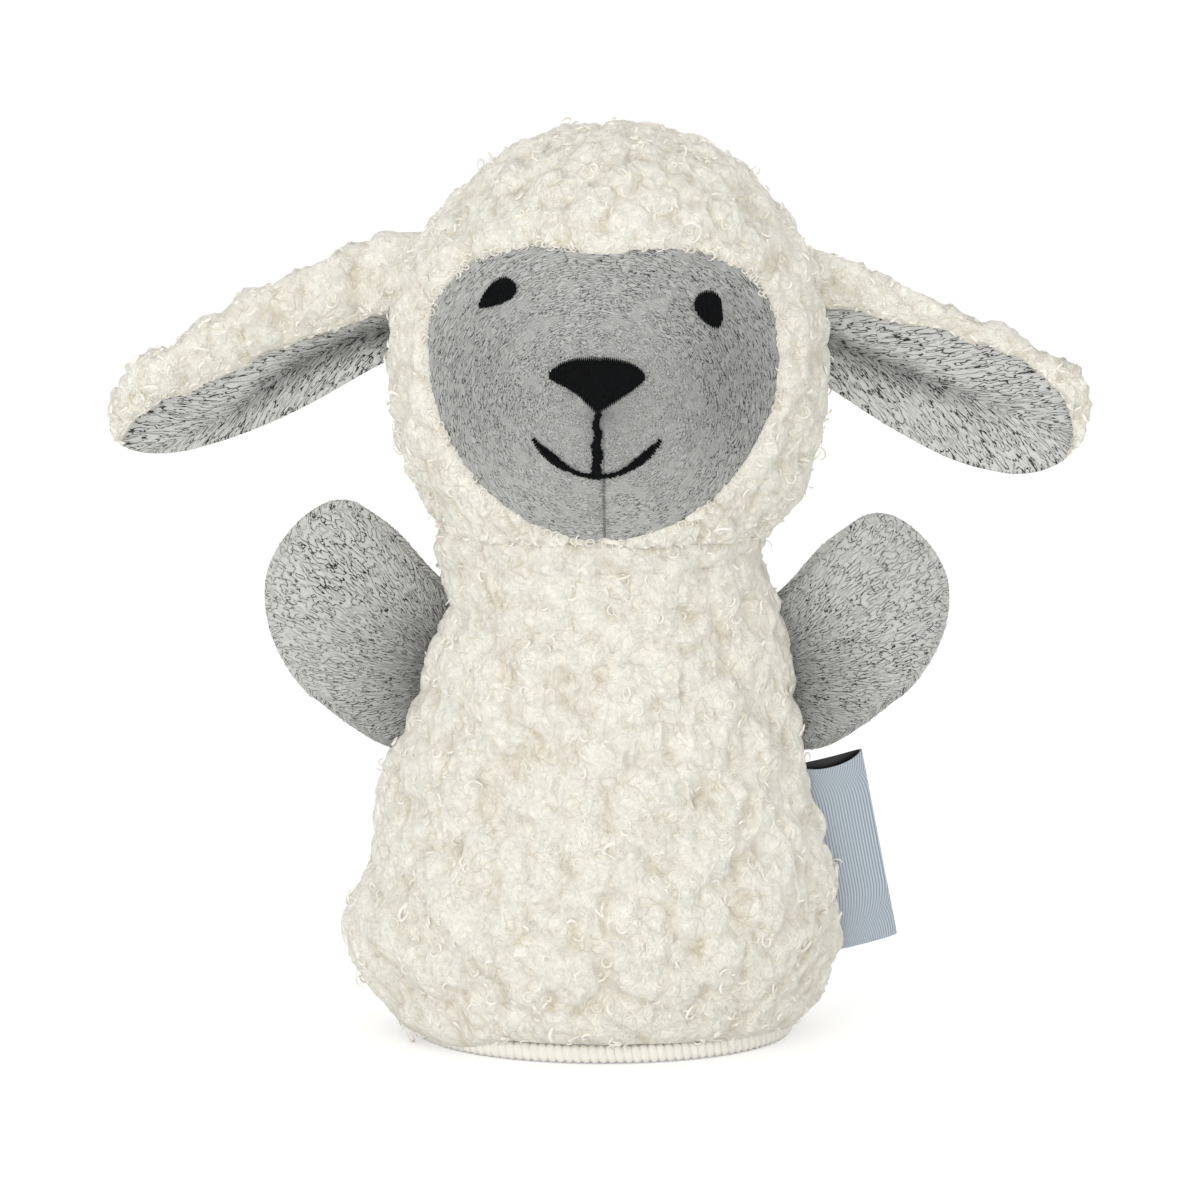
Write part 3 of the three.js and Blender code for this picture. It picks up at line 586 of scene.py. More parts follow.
fleece_material, tree, shader = new_material(
    "curly_fleece", Roughness=0.95, Sheen_Weight=0.4, Sheen_Roughness=0.5)
height, crease_shade = wound_locks(tree, 430.0, 0.0026)
# Painted shade: the pile turns a darker beige in the creases between its clumps and its locks.
depth = maths(tree, "ADD", mark(tree, "crease"), maths(tree, "MULTIPLY", crease_shade, 0.45), clamp=True)
pile = mixed(tree, depth, colour(255, 251, 239), colour(213, 198, 166))
dots = node(tree, "ShaderNodeTexVoronoi", {"Vector": object_place(tree), "Scale": 2400.0}).outputs[0]
specks = maths(tree, "MULTIPLY", ramp(tree, dots, 0.12, 0.2, 1.0, 0.0),
               placed(tree, patch_group, 120.0, 0.66, 0.7)[0])
pile = mixed(tree, maths(tree, "MULTIPLY", specks, 0.7), pile, colour(96, 78, 56))
weave = node(tree, "ShaderNodeTexWave", {"Vector": object_place(tree), "Scale": 520.0, "Distortion": 3.0})
ground = mixed(tree, weave.outputs[1], colour(214, 206, 190), colour(236, 230, 217))
dyed(tree, shader, mark(tree, "lining"), pile, ground)
raised(tree, shader, height, 0.0003)

curl_material, tree, shader = new_material(
    "loose_curls", Roughness=0.9, Sheen_Weight=0.4, Sheen_Roughness=0.5)
lock = mixed(tree, mark(tree, "crease"), colour(253, 250, 242), colour(244, 238, 225))
grain = placed(tree, grain_group, 2200)[0]
dyed(tree, shader, maths(tree, "MULTIPLY", grain, 0.2), lock, colour(244, 238, 225))


def fleece_piece(name, part, body, curl_seed, keep, *stands_for, fill=None, blended=None):
    """The fleece's clumps as one piece and its loose curls as another, both on one body, or, in a blended
    zone, on no body, with their placing written into their points."""
    place, normal, draw = sprinkle(part, CURLS_PER_MM2, curl_seed, keep)
    standing = draw.random(len(place)) < STANDING_SHARE
    every = slice(None, None, LOOP_EVERY)
    loose = [
        curls(place[~standing], normal[~standing], draw),
        curls(place[standing], normal[standing], draw, radius=(0.7, 1.3), width=(0.12, 0.2), stand=(30, 80)),
        curls(place[every], normal[every], draw, radius=(1.2, 2.1), width=(0.2, 0.32), stand=(-10, 70)),
    ]
    ground_piece = make_piece(name, [part], fleece_material, merge=True)
    curl_piece = make_piece(f"{name}_curls", loose, curl_material)
    if not blended:
        belongs(ground_piece, body, "boucle", *stands_for, fill=fill)
        belongs(curl_piece, body, "boucle")
        return
    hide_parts(*stands_for)
    for made in (ground_piece, curl_piece):
        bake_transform(made)


def side_turns(side, half_length):
    """Turns from one side seam to the other, round the front (-1) or the back (1)."""
    count = round(half_length / GRID_STEP)
    return np.linspace(0, np.pi, count + 1) + (np.pi if side < 0 else 0)


def outside_only(middle):
    """Only the outside of the sleeve or neck carries curls: places beyond the ground's oval."""
    turn = np.arctan2(middle[:, 1] / 24, middle[:, 0] / 30)
    ground = sleeve_point(turn, middle[:, 2], -PILE * 0.8)
    return np.hypot(middle[:, 0], middle[:, 1]) > np.hypot(ground[:, 0], ground[:, 1])


heights = np.linspace(SLEEVE_FOOT, ZONES[0], round((ZONES[0] - SLEEVE_FOOT) / GRID_STEP))
for side, word, seed in ((-1, "front", 11), (1, "back", 12)):
    part = sleeve_fleece(side_turns(side, 100), heights, caps=True)
    fleece_piece(f"body_{word}_fleece", part, "sleeve", seed, outside_only, f"body_{word}_panel")


# Neck: the sleeve's fleece goes on without a seam to the head, drawn in a little. It is built in three zones,
# each listed with the two bodies that it lies between.
NECK_BODIES = (("sleeve", "neck"), ("neck", "pocket"), ("pocket", "head"))

ring = all_round(320)
for zone, bodies, word in zip(zip(ZONES, ZONES[1:]), NECK_BODIES, ("low", "middle", "high")):
    heights = np.linspace(*zone, round((zone[1] - zone[0]) / GRID_STEP) + 1)
    part = sleeve_fleece(ring, heights, closed_columns=True)
    stands_for = ["neck_gather"] if word == "middle" else []
    fleece_piece(f"neck_{word}_fleece", part, bodies, len(word), outside_only, *stands_for, blended=zone)


# Head: a hood of the same fleece, in a front with the face's opening and a back, sewn together
# over the top and down both sides round a firm ball of fibre.
HEAD_HALF_WIDTH, HEAD_FRONT, HEAD_BACK, HEAD_HALF_HEIGHT = 28.3, 27.0, 24.5, 31.0
HEAD_ROUNDNESS = 2.3
HEAD_LEAN, CROWN_LEAN = 0.8, 0.9
CROWN_TAPER, TAPER_FROM, TAPER_TO, CROWN_SINK = 0.11, 0.3, 0.75, 0.7
HOOD_SKIN, HOOD_GROUND, FACE_SKIN = 4.5, 0.8, 1.9
HEAD_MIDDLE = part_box("head_hood_front")[1].z / MM - HEAD_HALF_HEIGHT - HOOD_SKIN
MUZZLE_BULGE, MUZZLE_HEIGHT, MUZZLE_SPREAD = 3.0, -1.0, 15.0
FACE_MIDDLE = HEAD_MIDDLE + 2
FACE_HALF_WIDTH, FACE_TOP, FACE_BOTTOM = 25.9, 18.1, 26.4
FACE_TOP_ROUNDNESS, FACE_BOTTOM_ROUNDNESS = 2.6, 1.9
FACE_DIP, FACE_DIP_WIDTH, FACE_PAST = 1.3, 7.0, 1.06
LIP_WIDTH = 2.4
TUFTS_UP_HEAD = 14
HOOD_FOOT, FOOT_WAVE, HOOD_FOOT_ROUNDING = 75.2, 0.8, 1.8
HOOD_SEAM_REACH, HOOD_ROUNDNESS = 28.0, 2.1


def muzzle(x, z):
    """How far the muzzle swells forwards at a place from the head's middle, as a bell curve."""
    return MUZZLE_BULGE * np.exp(-(x**2 + (z - MUZZLE_HEIGHT) ** 2) / MUZZLE_SPREAD**2)


def head_point(turn, rise, grow):
    """A point of the head: an egg with blunt ends, narrower at the crown and flatter behind, grown
    outwards. In front the muzzle swells forwards like a soft bell."""
    power = 2 / HEAD_ROUNDNESS
    reach = np.maximum(np.cos(rise), 0) ** power
    front = np.maximum(-np.sin(turn), 0)
    crown = smooth(TAPER_FROM, TAPER_TO, np.sin(rise))
    x = (HEAD_HALF_WIDTH + grow) * reach * (1 - CROWN_TAPER * crown) * np.cos(turn)
    x = x + HEAD_LEAN + CROWN_LEAN * crown
    z = (HEAD_HALF_HEIGHT + grow) * signed_power(np.sin(rise), power)
    y = (np.where(front > 0, HEAD_FRONT, HEAD_BACK) + grow) * reach * np.sin(turn)
    y = y - front * reach * muzzle(x, z)
    return joined(x, y, HEAD_MIDDLE + z)


def beyond_face(x, z):
    """How far a place lies outside the face's outline, seen from the front, about in millimetres:
    the outline is a blunt oval above its middle, a rounder one below, with a dip at its top."""
    above = z - FACE_MIDDLE
    dip = FACE_DIP * np.exp(-((x / FACE_DIP_WIDTH) ** 2))
    tall = np.where(above > 0, FACE_TOP - dip, FACE_BOTTOM)
    power = np.where(above > 0, FACE_TOP_ROUNDNESS, FACE_BOTTOM_ROUNDNESS)
    share = (np.abs(x / FACE_HALF_WIDTH) ** power + np.abs(above / tall) ** power) ** (1 / power)
    return (share - 1) * np.hypot(x, above) / np.maximum(share, 0.05)


def rise_at(height, grow):
    """The angle at which the head's outline, grown outwards, lies at a height below its middle."""
    return -np.arcsin(((HEAD_MIDDLE - height) / (HEAD_HALF_HEIGHT + grow)) ** (HEAD_ROUNDNESS / 2))


def head_fleece(side):
    """The hood's front or back, from the top of the neck to the crown: pile outside, ground
    inside. Round the face the pile ends in a soft lip, and sinks under the face's edge."""
    turns, low = side_turns(side, 96), rise_at(HOOD_FOOT, HOOD_SKIN)
    turn, rise = np.meshgrid(turns, np.linspace(low, np.pi / 2, 236))
    base = head_point(turn, rise, HOOD_SKIN)
    lump, crease = curly_pile(base)
    lump = lump - tuft_dip(turn, TUFTS_UP_HEAD * rise) * np.cos(rise)
    lump = lump - seam_dip(np.sin(turn) * np.cos(rise) * HOOD_SEAM_REACH)
    lump = lump - CROWN_SINK * smooth(0.8, 1, np.sin(rise))
    foot = HOOD_FOOT + FOOT_WAVE * (1 + wander(base, 7, 23))
    lip = rounded((base[..., 2] - foot) / HOOD_FOOT_ROUNDING)
    if side < 0:
        rim = head_point(turn, rise, FACE_SKIN)
        lip = lip * rounded((beyond_face(rim[..., 0], rim[..., 2]) + 0.8 * (0.5 - crease)) / LIP_WIDTH)
    outside = head_point(turn, rise, HOOD_GROUND + (HOOD_SKIN - HOOD_GROUND + lump) * lip)
    turn, rise = np.meshgrid(turns, np.linspace(np.pi / 2, low, 20))
    return fleece_sheet(outside, head_point(turn, rise, HOOD_GROUND / 2), crease, caps=True)


def hood_only(middle):
    """Curls grow on the hood's outside and not under the face, closer round it and at the foot."""
    centre = (middle - (0, 0, HEAD_MIDDLE)) / (HEAD_HALF_WIDTH, HEAD_BACK, HEAD_HALF_HEIGHT)
    share = np.linalg.norm(centre, HOOD_ROUNDNESS, -1)
    beyond = beyond_face(middle[:, 0], middle[:, 2])
    close = 9 * (middle[:, 1] < 0) * (beyond < 1.6) + 5 * (middle[:, 2] < HOOD_FOOT + 4)
    return (share > 1.03) * ((middle[:, 1] > 0) | (beyond > 0.2)) * (1 + close)


for side, word, seed, panel in ((-1, "front", 21, "head_hood_front"), (1, "back", 22, "head_back_panel")):
    fleece_piece(f"head_{word}_fleece", head_fleece(side), "head", seed, hood_only, panel, fill=0.85)


# Face: one panel of short brushed grey pile, sewn into the hood's opening and drawn in by a dart at
# the chin. Its pile lies in rings round the muzzle, which part at the dart.
HAIR_LENGTH, HAIRS_PER_MM2 = 0.8, 0.9
DART_TOP, DART_DEPTH, DART_WIDTH = FACE_MIDDLE - 15.5, 0.8, 0.9
FLOW_MIDDLE = FACE_MIDDLE - 6
FACE_GAP_LENGTH, FACE_GAP_WIDTH, FACE_RING = 1.2, 0.34, 15.0


def face_depth(x, z, grow):
    """Y of the head's front at a place seen from the front, by solving the egg's formula for it."""
    above = z - HEAD_MIDDLE
    lift = above / (HEAD_HALF_HEIGHT + grow)
    reach = np.maximum(1 - np.abs(lift) ** HEAD_ROUNDNESS, 0) ** (1 / HEAD_ROUNDNESS)
    crown = smooth(TAPER_FROM, TAPER_TO, np.maximum(lift, 0) ** (HEAD_ROUNDNESS / 2))
    aside = (x - HEAD_LEAN - CROWN_LEAN * crown) / (HEAD_HALF_WIDTH + grow) / (1 - CROWN_TAPER * crown)
    front = np.sqrt(np.maximum(reach**2 - aside**2, 0))
    return -front * (HEAD_FRONT + grow + muzzle(x, above))


def dart(x, z):
    """Depth of the groove of the chin's dart, which deepens downwards."""
    return DART_DEPTH * np.exp(-((x / DART_WIDTH) ** 2)) * np.clip((DART_TOP - z) / 6, 0, 1)


def face_point(turn, share, grow):
    """A point of the face panel: rays from its middle to a little past its outline."""
    above = np.sin(turn) > 0
    power = 2 / np.where(above, FACE_TOP_ROUNDNESS, FACE_BOTTOM_ROUNDNESS)
    x = FACE_HALF_WIDTH * signed_power(np.cos(turn), power)
    dip = FACE_DIP * np.exp(-((x / FACE_DIP_WIDTH) ** 2))
    tall = np.where(above, FACE_TOP - dip, FACE_BOTTOM) * signed_power(np.sin(turn), power)
    x, z = x * share, FACE_MIDDLE + tall * share
    sunk = 0.8 * np.clip((share - 1) / (FACE_PAST - 1), 0, 1)
    y = face_depth(x, z, grow) + dart(x, z) + sunk
    return joined(x, y, z)


def brushed(place, normal, flow, draw, tint):
    """Loose hairs of the pile, which lie along its flow with their tips a little proud."""
    count = len(place)
    flow = flow + 0.4 * draw.normal(size=(count, 3))
    flow = unit(flow - (flow * normal).sum(-1, keepdims=True) * normal)
    share = np.array([0.0, 0.3, 0.7, 1.0])[:, None]
    long = HAIR_LENGTH * draw.uniform(0.6, 1.4, count)[:, None, None]
    lean = np.radians(draw.uniform(5, 28, count))[:, None, None]
    path = place[:, None] + long * (share - 0.3) * np.cos(lean) * flow[:, None]
    path = path + (long * np.sin(lean) * share - 0.05) * normal[:, None]
    thick = draw.uniform(0.04, 0.075, count)[:, None] * np.array([1.0, 1.0, 0.7, 0.0])
    return tube_part(path, thick, normal[:, None], tint=np.clip(tint + draw.uniform(-0.1, 0.1, count), 0, 1))


def brushed_piece(name, part, body, seed, flow, tint):
    """The loose hairs of one panel, coloured with the panel's tone and painted light and shade where they
    grow.
    """
    place, normal, draw = sprinkle(part, HAIRS_PER_MM2, seed)
    hairs = brushed(place, normal, flow(place), draw, tint(place))
    belongs(make_piece(name, [hairs], velboa_material), body, "velboa")


velboa_material, tree, shader = new_material(
    "brushed_velboa", Roughness=0.8, Sheen_Weight=0.25, Sheen_Roughness=0.5)
# Painted shade: dark lines where the pile parts into tufts, denser and darker where the mark of its gaps is
# high. The mark of its lightness brings random tone and broad painted light and shade.
cells = {0: mark(tree, "flow_along"), 1: mark(tree, "flow_across")}
flow = node(tree, "ShaderNodeCombineXYZ", cells).outputs[0]
shift = vector_maths(tree, "SCALE", noise(tree, object_place(tree), 650.0)[1], 0.45)
flow = vector_maths(tree, "ADD", flow, shift)
field = noise(tree, flow, 1.15, 1.4, Roughness=0.6)[0]
net = maths(tree, "ABSOLUTE", maths(tree, "SUBTRACT", field, 0.5))
hair = noise(tree, vector_maths(tree, "MULTIPLY", flow, (1.5, 7.0, 1.0)), 1.0)[0]
gap = mark(tree, "gap")
inside = placed(tree, patch_group, 450.0, 0.34, 0.46)[0]
shown = maths(tree, "ADD", inside, maths(tree, "SUBTRACT", gap, 0.75), clamp=True)
shown = maths(tree, "MULTIPLY", shown, gap)
line = maths(tree, "MULTIPLY", ramp(tree, net, 0.014, 0.034, 1.0, 0.0), shown, clamp=True)
shade = maths(tree, "ADD", mark(tree, "tint"), ramp(tree, hair, 0.3, 0.7, -0.07, 0.07))
shade = maths(tree, "SUBTRACT", shade, line, clamp=True)
dyed(tree, shader, shade, colour(28, 30, 30), colour(220, 221, 217))
height = maths(tree, "ADD", ramp(tree, net, 0.0, 0.12), maths(tree, "MULTIPLY", hair, 0.6))
raised(tree, shader, height, 0.0002)


def face_flow(place):
    """The pile's flow: round the muzzle from the brow, down both sides to the dart."""
    x, z = place[..., 0], place[..., 2] - FLOW_MIDDLE
    return np.stack([np.sign(x) * z, 0 * x, -np.abs(x)], -1) / np.maximum(np.hypot(x, z), 1)[..., None]


def face_light_and_shade(place):
    """Painted light and shade: paler over the brow and muzzle, where the pile stands towards the light,
    darker beside them, darker on the right cheek than the left and a little darker on the chin.
    """
    x, z = place[..., 0], place[..., 2] - FACE_MIDDLE
    cheeks = np.exp(-(((np.abs(x) - 19) / 9) ** 2) - ((z + 3) / 14) ** 2)
    return 0.82 - (0.24 + 0.05 * np.sign(x)) * cheeks - 0.02 * np.exp(-((x / 12) ** 2) - ((z + 18) / 7) ** 2)


def face_marks(points):
    """The net of gaps in the pile, drawn in painted shade, in cells along and across rings round the muzzle,
    which part at the dart: closer and darker at the cheeks and the chin."""
    x, z = points[..., 0], points[..., 2] - FLOW_MIDDLE
    far = np.hypot(x, z)
    seam = np.exp(-((x / 0.45) ** 2)) * (points[..., 2] < DART_TOP) * (0.3 + 0.7 * smooth(-24, -16, z - 6))
    return {
        "flow_along": np.arctan2(x, z) * FACE_RING / FACE_GAP_LENGTH,
        "flow_across": far / FACE_GAP_WIDTH,
        "gap": 0.68 + 0.15 * wander(points, 7.0, 33) + 0.12 * smooth(8, 22, far),
        "tint": face_light_and_shade(points) - 0.4 * seam,
    }


turn = all_round(300)[None]
outer = face_point(turn, np.linspace(0, FACE_PAST, 100)[:, None], FACE_SKIN)
inner = face_point(turn, np.linspace(FACE_PAST - 0.01, 0, 8)[:, None], FACE_SKIN - 0.7)
skin = np.concatenate([outer, inner])
part = grid_part(skin, closed_columns=True, flip=True, **face_marks(skin))
face = make_piece("face_velboa", [part], velboa_material, merge=True)
belongs(face, "head", "velboa", "face_panel", fill=0.85)
brushed_piece("face_pile", grid_part(outer, closed_columns=True, flip=True), "head", 31, face_flow, face_light_and_shade)

# Curls of the hood fall over the face's edge.
draw = np.random.default_rng(35)
edge = face_point(draw.uniform(0, 2 * np.pi, 420), draw.normal(1.02, 0.012, 420), FACE_SKIN + 0.6)
outward = np.broadcast_to((0.0, -1.0, 0.0), edge.shape)
fringe = curls(edge, outward, draw, radius=(0.4, 0.9), width=(0.1, 0.2), stand=(-15, 15))
belongs(make_piece("face_edge_curls", [fringe], curl_material), "head", "boucle")


# Embroidery: eyes, nose and mouth in black satin stitch, threads laid side by side over a low pad
# and sunk a little into the face's pile.
THREAD_PITCH, THREAD_RADIUS, THREAD_STATIONS = 0.3, 0.2, 9
STITCH_ANGLE = 0.1
EYES = (
    # side, middle across and up, length, width, tilt of the fuller end and how much fuller it is
    ("left", -15.5, 10.4, 6.3, 3.15, 38, 0.42),
    ("right", 15.6, 8.3, 6.0, 3.7, 112, 0.3),
)
NOSE_X, NOSE_TOP, NOSE_CORNER, NOSE_BOTTOM, NOSE_HALF_WIDTH = -0.9, 2.5, -0.6, -6.3, 6.9
NOSE_SIDE_UP, NOSE_SIDE_DOWN = 1.6, 1.2
MOUTH_FOOT, SMILE_HALF_WIDTH, SMILE_RISE, MOUTH_STROKE = -15.6, 9.2, 5.4, 1.15


def satin(low, high, seed, pad=0.85, fray=0.14):
    """Satin stitches between two lines of places, one thread for each pair: each goes up over a
    pad and down again, with slightly uneven ends."""
    draw = np.random.default_rng(seed)
    count = len(low)
    along = unit(high - low)
    low = low - along * draw.uniform(0, fray, (count, 1))
    high = high + along * draw.uniform(0, fray, (count, 1))
    share = np.linspace(0, 1, THREAD_STATIONS)[:, None]
    flat = low[:, None] * (1 - share) + high[:, None] * share
    depth = face_depth(flat[..., 0], flat[..., 1], FACE_SKIN)
    swell = pad * (np.sin(np.pi * share[:, 0]) ** 0.4) * draw.uniform(0.92, 1.05, (count, 1)) - 0.1
    path = np.stack([flat[..., 0], depth - swell, flat[..., 1]], -1)
    return tube_part(path, THREAD_RADIUS, (0, 1, 0), 5)


def turning(angle):
    """The matrix that turns places, given as rows, by an angle."""
    return np.array([(math.cos(angle), math.sin(angle)), (-math.sin(angle), math.cos(angle))])


def across_outline(outline, angle):
    """Where threads at an angle enter and leave a convex outline, one each thread pitch."""
    flat = outline @ turning(-angle)
    first, last = flat[:, 0].argmin(), flat[:, 0].argmax()
    lines = [np.roll(flat, -first, 0)[: (last - first) % len(flat) + 1],
             np.roll(flat, -last, 0)[: (first - last) % len(flat) + 1][::-1]]
    at = np.arange(flat[first, 0] + 0.1, flat[last, 0], THREAD_PITCH)
    return [np.stack([at, np.interp(at, *line.T)], -1) @ turning(angle) for line in lines]


embroidery_material = fibre_material(
    "black_satin_stitch", 3000, colour(4, 5, 6), colour(16, 18, 19), 0.00008,
    Roughness=0.6, Specular_IOR_Level=0.07)


def embroidered(name, *parts):
    belongs(make_piece(f"{name}_stitches", parts, embroidery_material), "head", "embroidery", name)


turn = all_round(120)
for word, x, z, length, width, tilt, fuller in EYES:
    swell = 1 + fuller * np.cos(turn)
    oval = np.stack([length / 2 * np.cos(turn), width / 2 * np.sin(turn) * swell], -1)
    outline = oval @ turning(math.radians(tilt)) + (x, FACE_MIDDLE + z)
    embroidered(f"{word}_eye", satin(*across_outline(outline, STITCH_ANGLE), seed=41))

across = np.arange(-1, 1, THREAD_PITCH / NOSE_HALF_WIDTH) + 0.02
end = np.sqrt(1 - np.abs(across) ** 5)
upper = NOSE_CORNER + (NOSE_SIDE_UP + (NOSE_TOP - NOSE_CORNER - NOSE_SIDE_UP) * (1 - across**2)) * end
drawn_in = np.maximum(1 - np.abs(across), 0) ** np.where(across < 0, 1.9, 1.1)
lower = NOSE_CORNER - NOSE_SIDE_DOWN * end - (NOSE_CORNER - NOSE_BOTTOM - NOSE_SIDE_DOWN) * drawn_in
x = NOSE_X + NOSE_HALF_WIDTH * across
nose_rows = [np.stack([x, FACE_MIDDLE + line], -1) for line in (lower, upper)]
embroidered("nose", satin(*nose_rows, seed=43, pad=1.0))

drop = np.arange(MOUTH_FOOT, NOSE_BOTTOM + 0.4, THREAD_PITCH)
wobble = 0.16 * np.sin(drop * 1.9)
half = MOUTH_STROKE / 2
ends = half * (0.95 - 0.4 * smooth(-11, -7, drop))
line_rows = [
    np.stack([NOSE_X + wobble + sign * ends, FACE_MIDDLE + drop + 0.15 * sign], -1) for sign in (-1, 1)]
share = np.arange(-1, 1, THREAD_PITCH / SMILE_HALF_WIDTH * 0.9)
smile = np.stack([NOSE_X + SMILE_HALF_WIDTH * share, FACE_MIDDLE + MOUTH_FOOT + SMILE_RISE * share**2], -1)
slope = unit(np.stack([-2 * SMILE_RISE * share / SMILE_HALF_WIDTH, np.ones(len(share))], -1))
thick = 0.15 + 0.9 * np.exp(-(((np.abs(share) - 0.74) / 0.24) ** 2))
stroke = (half * thick * (1 - np.abs(share) ** 12) + 0.05)[:, None]
embroidered("mouth", satin(*line_rows, seed=44, pad=0.7, fray=0.35),
            satin(smile - slope * stroke, smile + slope * stroke, seed=45, pad=0.65, fray=0.3))


# Ears: fleece outside and brushed grey pile inside, turned and sewn to the sides of the hood. The
# left one rolls forward along its upper edge, so that its fleece shows, and is folded below.
EAR_OUT, EAR_RISE = 34.7, 9.8
EAR_DROOP = math.radians(23)
EAR_ROOT, EAR_ROUNDING = -13.0, 33.0
EAR_BACK_PILE, LINING_THICKNESS = 3.6, 1.0
EAR_GAP_LENGTH, EAR_GAP_WIDTH = 2.8, 0.58
EAR_AROUND = 60
EARS = {
    # the way out, the length, how thick the roll is, how far the sheet tilts and comes forward, how
    # deep its fold is and how much fleece shows beyond the lining at the tip
    "left": {
        "side": -1, "tip": 43.4, "roll": 4.6, "tilt": 0.42, "forward": 4.0, "fold": 2.6, "bare": 0.9,
        # along the ear, its upper edge, the lining's upper edge, its fold and the lower edge
        "edges": [(-13, 4.2, -4.0, -6.0, -7.0), (-5, 7.2, -4.6, -7.0, -9.8), (5, 7.6, -3.3, -5.8, -10.9),
                  (16, 7.6, -2.3, -6.2, -12.2), (28, 5.7, -2.8, -9.0, -12.1), (36, 4.7, -2.4, -9.0, -11.0)],
    },
    "right": {
        "side": 1, "tip": 42.2, "roll": 2.6, "tilt": 0.12, "forward": 2.0, "fold": 1.2, "bare": 1.0,
        "edges": [(-13, 2.2, -5.0, -8.0, -9.0), (-5, 5.0, -3.6, -7.4, -12.4), (5, 5.5, -1.4, -7.2, -13.8),
                  (16, 5.0, 0.6, -7.0, -15.7), (28, 4.9, 1.6, -6.6, -16.3), (36, 4.7, 0.9, -6.2, -14.8)],
    },
}


def closing(at, start, end, power=2.2):
    """A share that stays 1 up to a start and falls to 0 at an end like the quarter of an oval."""
    return np.maximum(1 - np.clip((at - start) / (end - start), 0, 1) ** power, 0) ** (1 / power)


def ear_edges(ear, along):
    """The upper edge, the lining's upper edge, the fold and the lower edge at places along an ear,
    which close at its tip. The fleece ends unevenly over the lining, and goes round the tip."""
    stations = np.array(ear["edges"]).T
    top, lining, fold, low = (smooth_line(along, stations[0], line) for line in stations[1:])
    middle, half = (top + low) / 2, (top - low) / 2 * closing(along, EAR_ROUNDING, ear["tip"])
    uneven = 0.7 * wander(np.stack([along, 0 * along, 0 * along], -1), 3.0, 55 + ear["side"])
    shown = closing(along, ear["tip"] - 13, ear["tip"] - ear["bare"], 2.6)
    low = middle - half
    return middle + half, low + (lining + uneven - low) * shown, fold, low


def ear_sheet(ear, along, across):
    """How far an ear's sheet lies in front of its seam: it comes forward towards its tip and its
    upper edge, and dips in a soft lengthwise fold."""
    fold = ear_edges(ear, along)[2]
    dip = ear["fold"] * np.exp(-(((across - fold) / 1.7) ** 2)) * (1 - smooth(20, 38, along))
    share = np.clip(along / ear["tip"], 0, 1)
    return ear["forward"] * share + ear["tilt"] * (across + 6) * smooth(-4, 14, along) - dip


def ear_place(ear, along, across, front):
    """The puppet's own place for one along, across and in front of an ear's seam."""
    out = EAR_OUT + along * math.cos(EAR_DROOP) + across * math.sin(EAR_DROOP)
    height = HEAD_MIDDLE + EAR_RISE - along * math.sin(EAR_DROOP) + across * math.cos(EAR_DROOP)
    return joined(ear["side"] * out, -front, height)


def in_ear(ear, places):
    """Along, across and in front of an ear's seam, for the puppet's own places."""
    out = ear["side"] * places[..., 0] - EAR_OUT
    height = places[..., 2] - HEAD_MIDDLE - EAR_RISE
    along = out * math.cos(EAR_DROOP) - height * math.sin(EAR_DROOP)
    return along, out * math.sin(EAR_DROOP) + height * math.cos(EAR_DROOP), -places[..., 1]


def ear_columns(end, count):
    """Places along an ear from its root, closer together towards its rounded tip."""
    return EAR_ROOT + (end - EAR_ROOT) * np.sin(np.linspace(0, np.pi / 2, count))[None]


def ear_fleece(ear):
    """An ear's fleece as a closed loop across it: over its back from the lower edge to the upper
    one, then down its front as a soft roll that ends at the lining."""
    along = ear_columns(ear["tip"], 110)
    over_back = np.linspace(-1, 1, EAR_AROUND)
    share = np.concatenate([over_back, over_back[::-1][1:-1]])[:, None]
    behind = (np.arange(len(share)) < EAR_AROUND)[:, None]
    top, lining, _, low = ear_edges(ear, along)
    closed = closing(along, EAR_ROUNDING, ear["tip"])
    across = (top + low) / 2 + (top - low) / 2 * share
    sheet = ear_sheet(ear, along, across)
    rim = np.sqrt(np.maximum(1 - share**2, 0))
    back = sheet - (EAR_BACK_PILE * rim**0.7 + 0.4) * closed**0.6
    over = (across - lining) / np.maximum(top - lining, 0.5)
    roll = ear["roll"] * np.maximum(1 - np.abs(2 * np.clip(over, 0, 1) - 1) ** 2.6, 0) ** (1 / 2.6)
    front = np.where(over > 0, sheet + roll * closed**0.6, sheet - 0.5 * np.minimum(1, rim * 4))
    base = ear_place(ear, along, across, np.where(behind, back, front))
    rise, crease = curly_pile(base)
    held = np.clip(np.where(behind, (share + 1) * 3, over * 5), 0, 1) * smooth(-9, -3, along) * closed**0.3
    swell = 1.15 * rise * held
    tip = smooth(EAR_ROUNDING - 2, ear["tip"], along) * 0.7
    points = ear_place(ear, along + tip * swell, across + share * (1 - rim) * swell,
                       np.where(behind, back - rim * swell, front + rim * swell))
    return grid_part(points, closed_rows=True, caps=True, flip=ear["side"] > 0, crease=crease, lining=0.0)


def ear_lining(ear, thickness):
    """An ear's lining: from just over the lower edge up to a little under the roll of fleece."""
    along = ear_columns(ear["tip"] - ear["bare"] + 0.2, 160)
    share = np.linspace(0, 1, 90)[:, None]
    _, lining, _, low = ear_edges(ear, along)
    wide = lining + 0.8 - low
    edge = np.minimum(np.minimum(share, 1 - share) * 14, 1) * np.minimum(wide / 2, 1)
    across = low + wide * share
    front = ear_sheet(ear, along, across) + 0.5 * rounded(edge) - thickness
    return ear_place(ear, along, across, front)


def ear_tint(place):
    return 0.97 + 0.05 * wander(place, 9.0, 66)


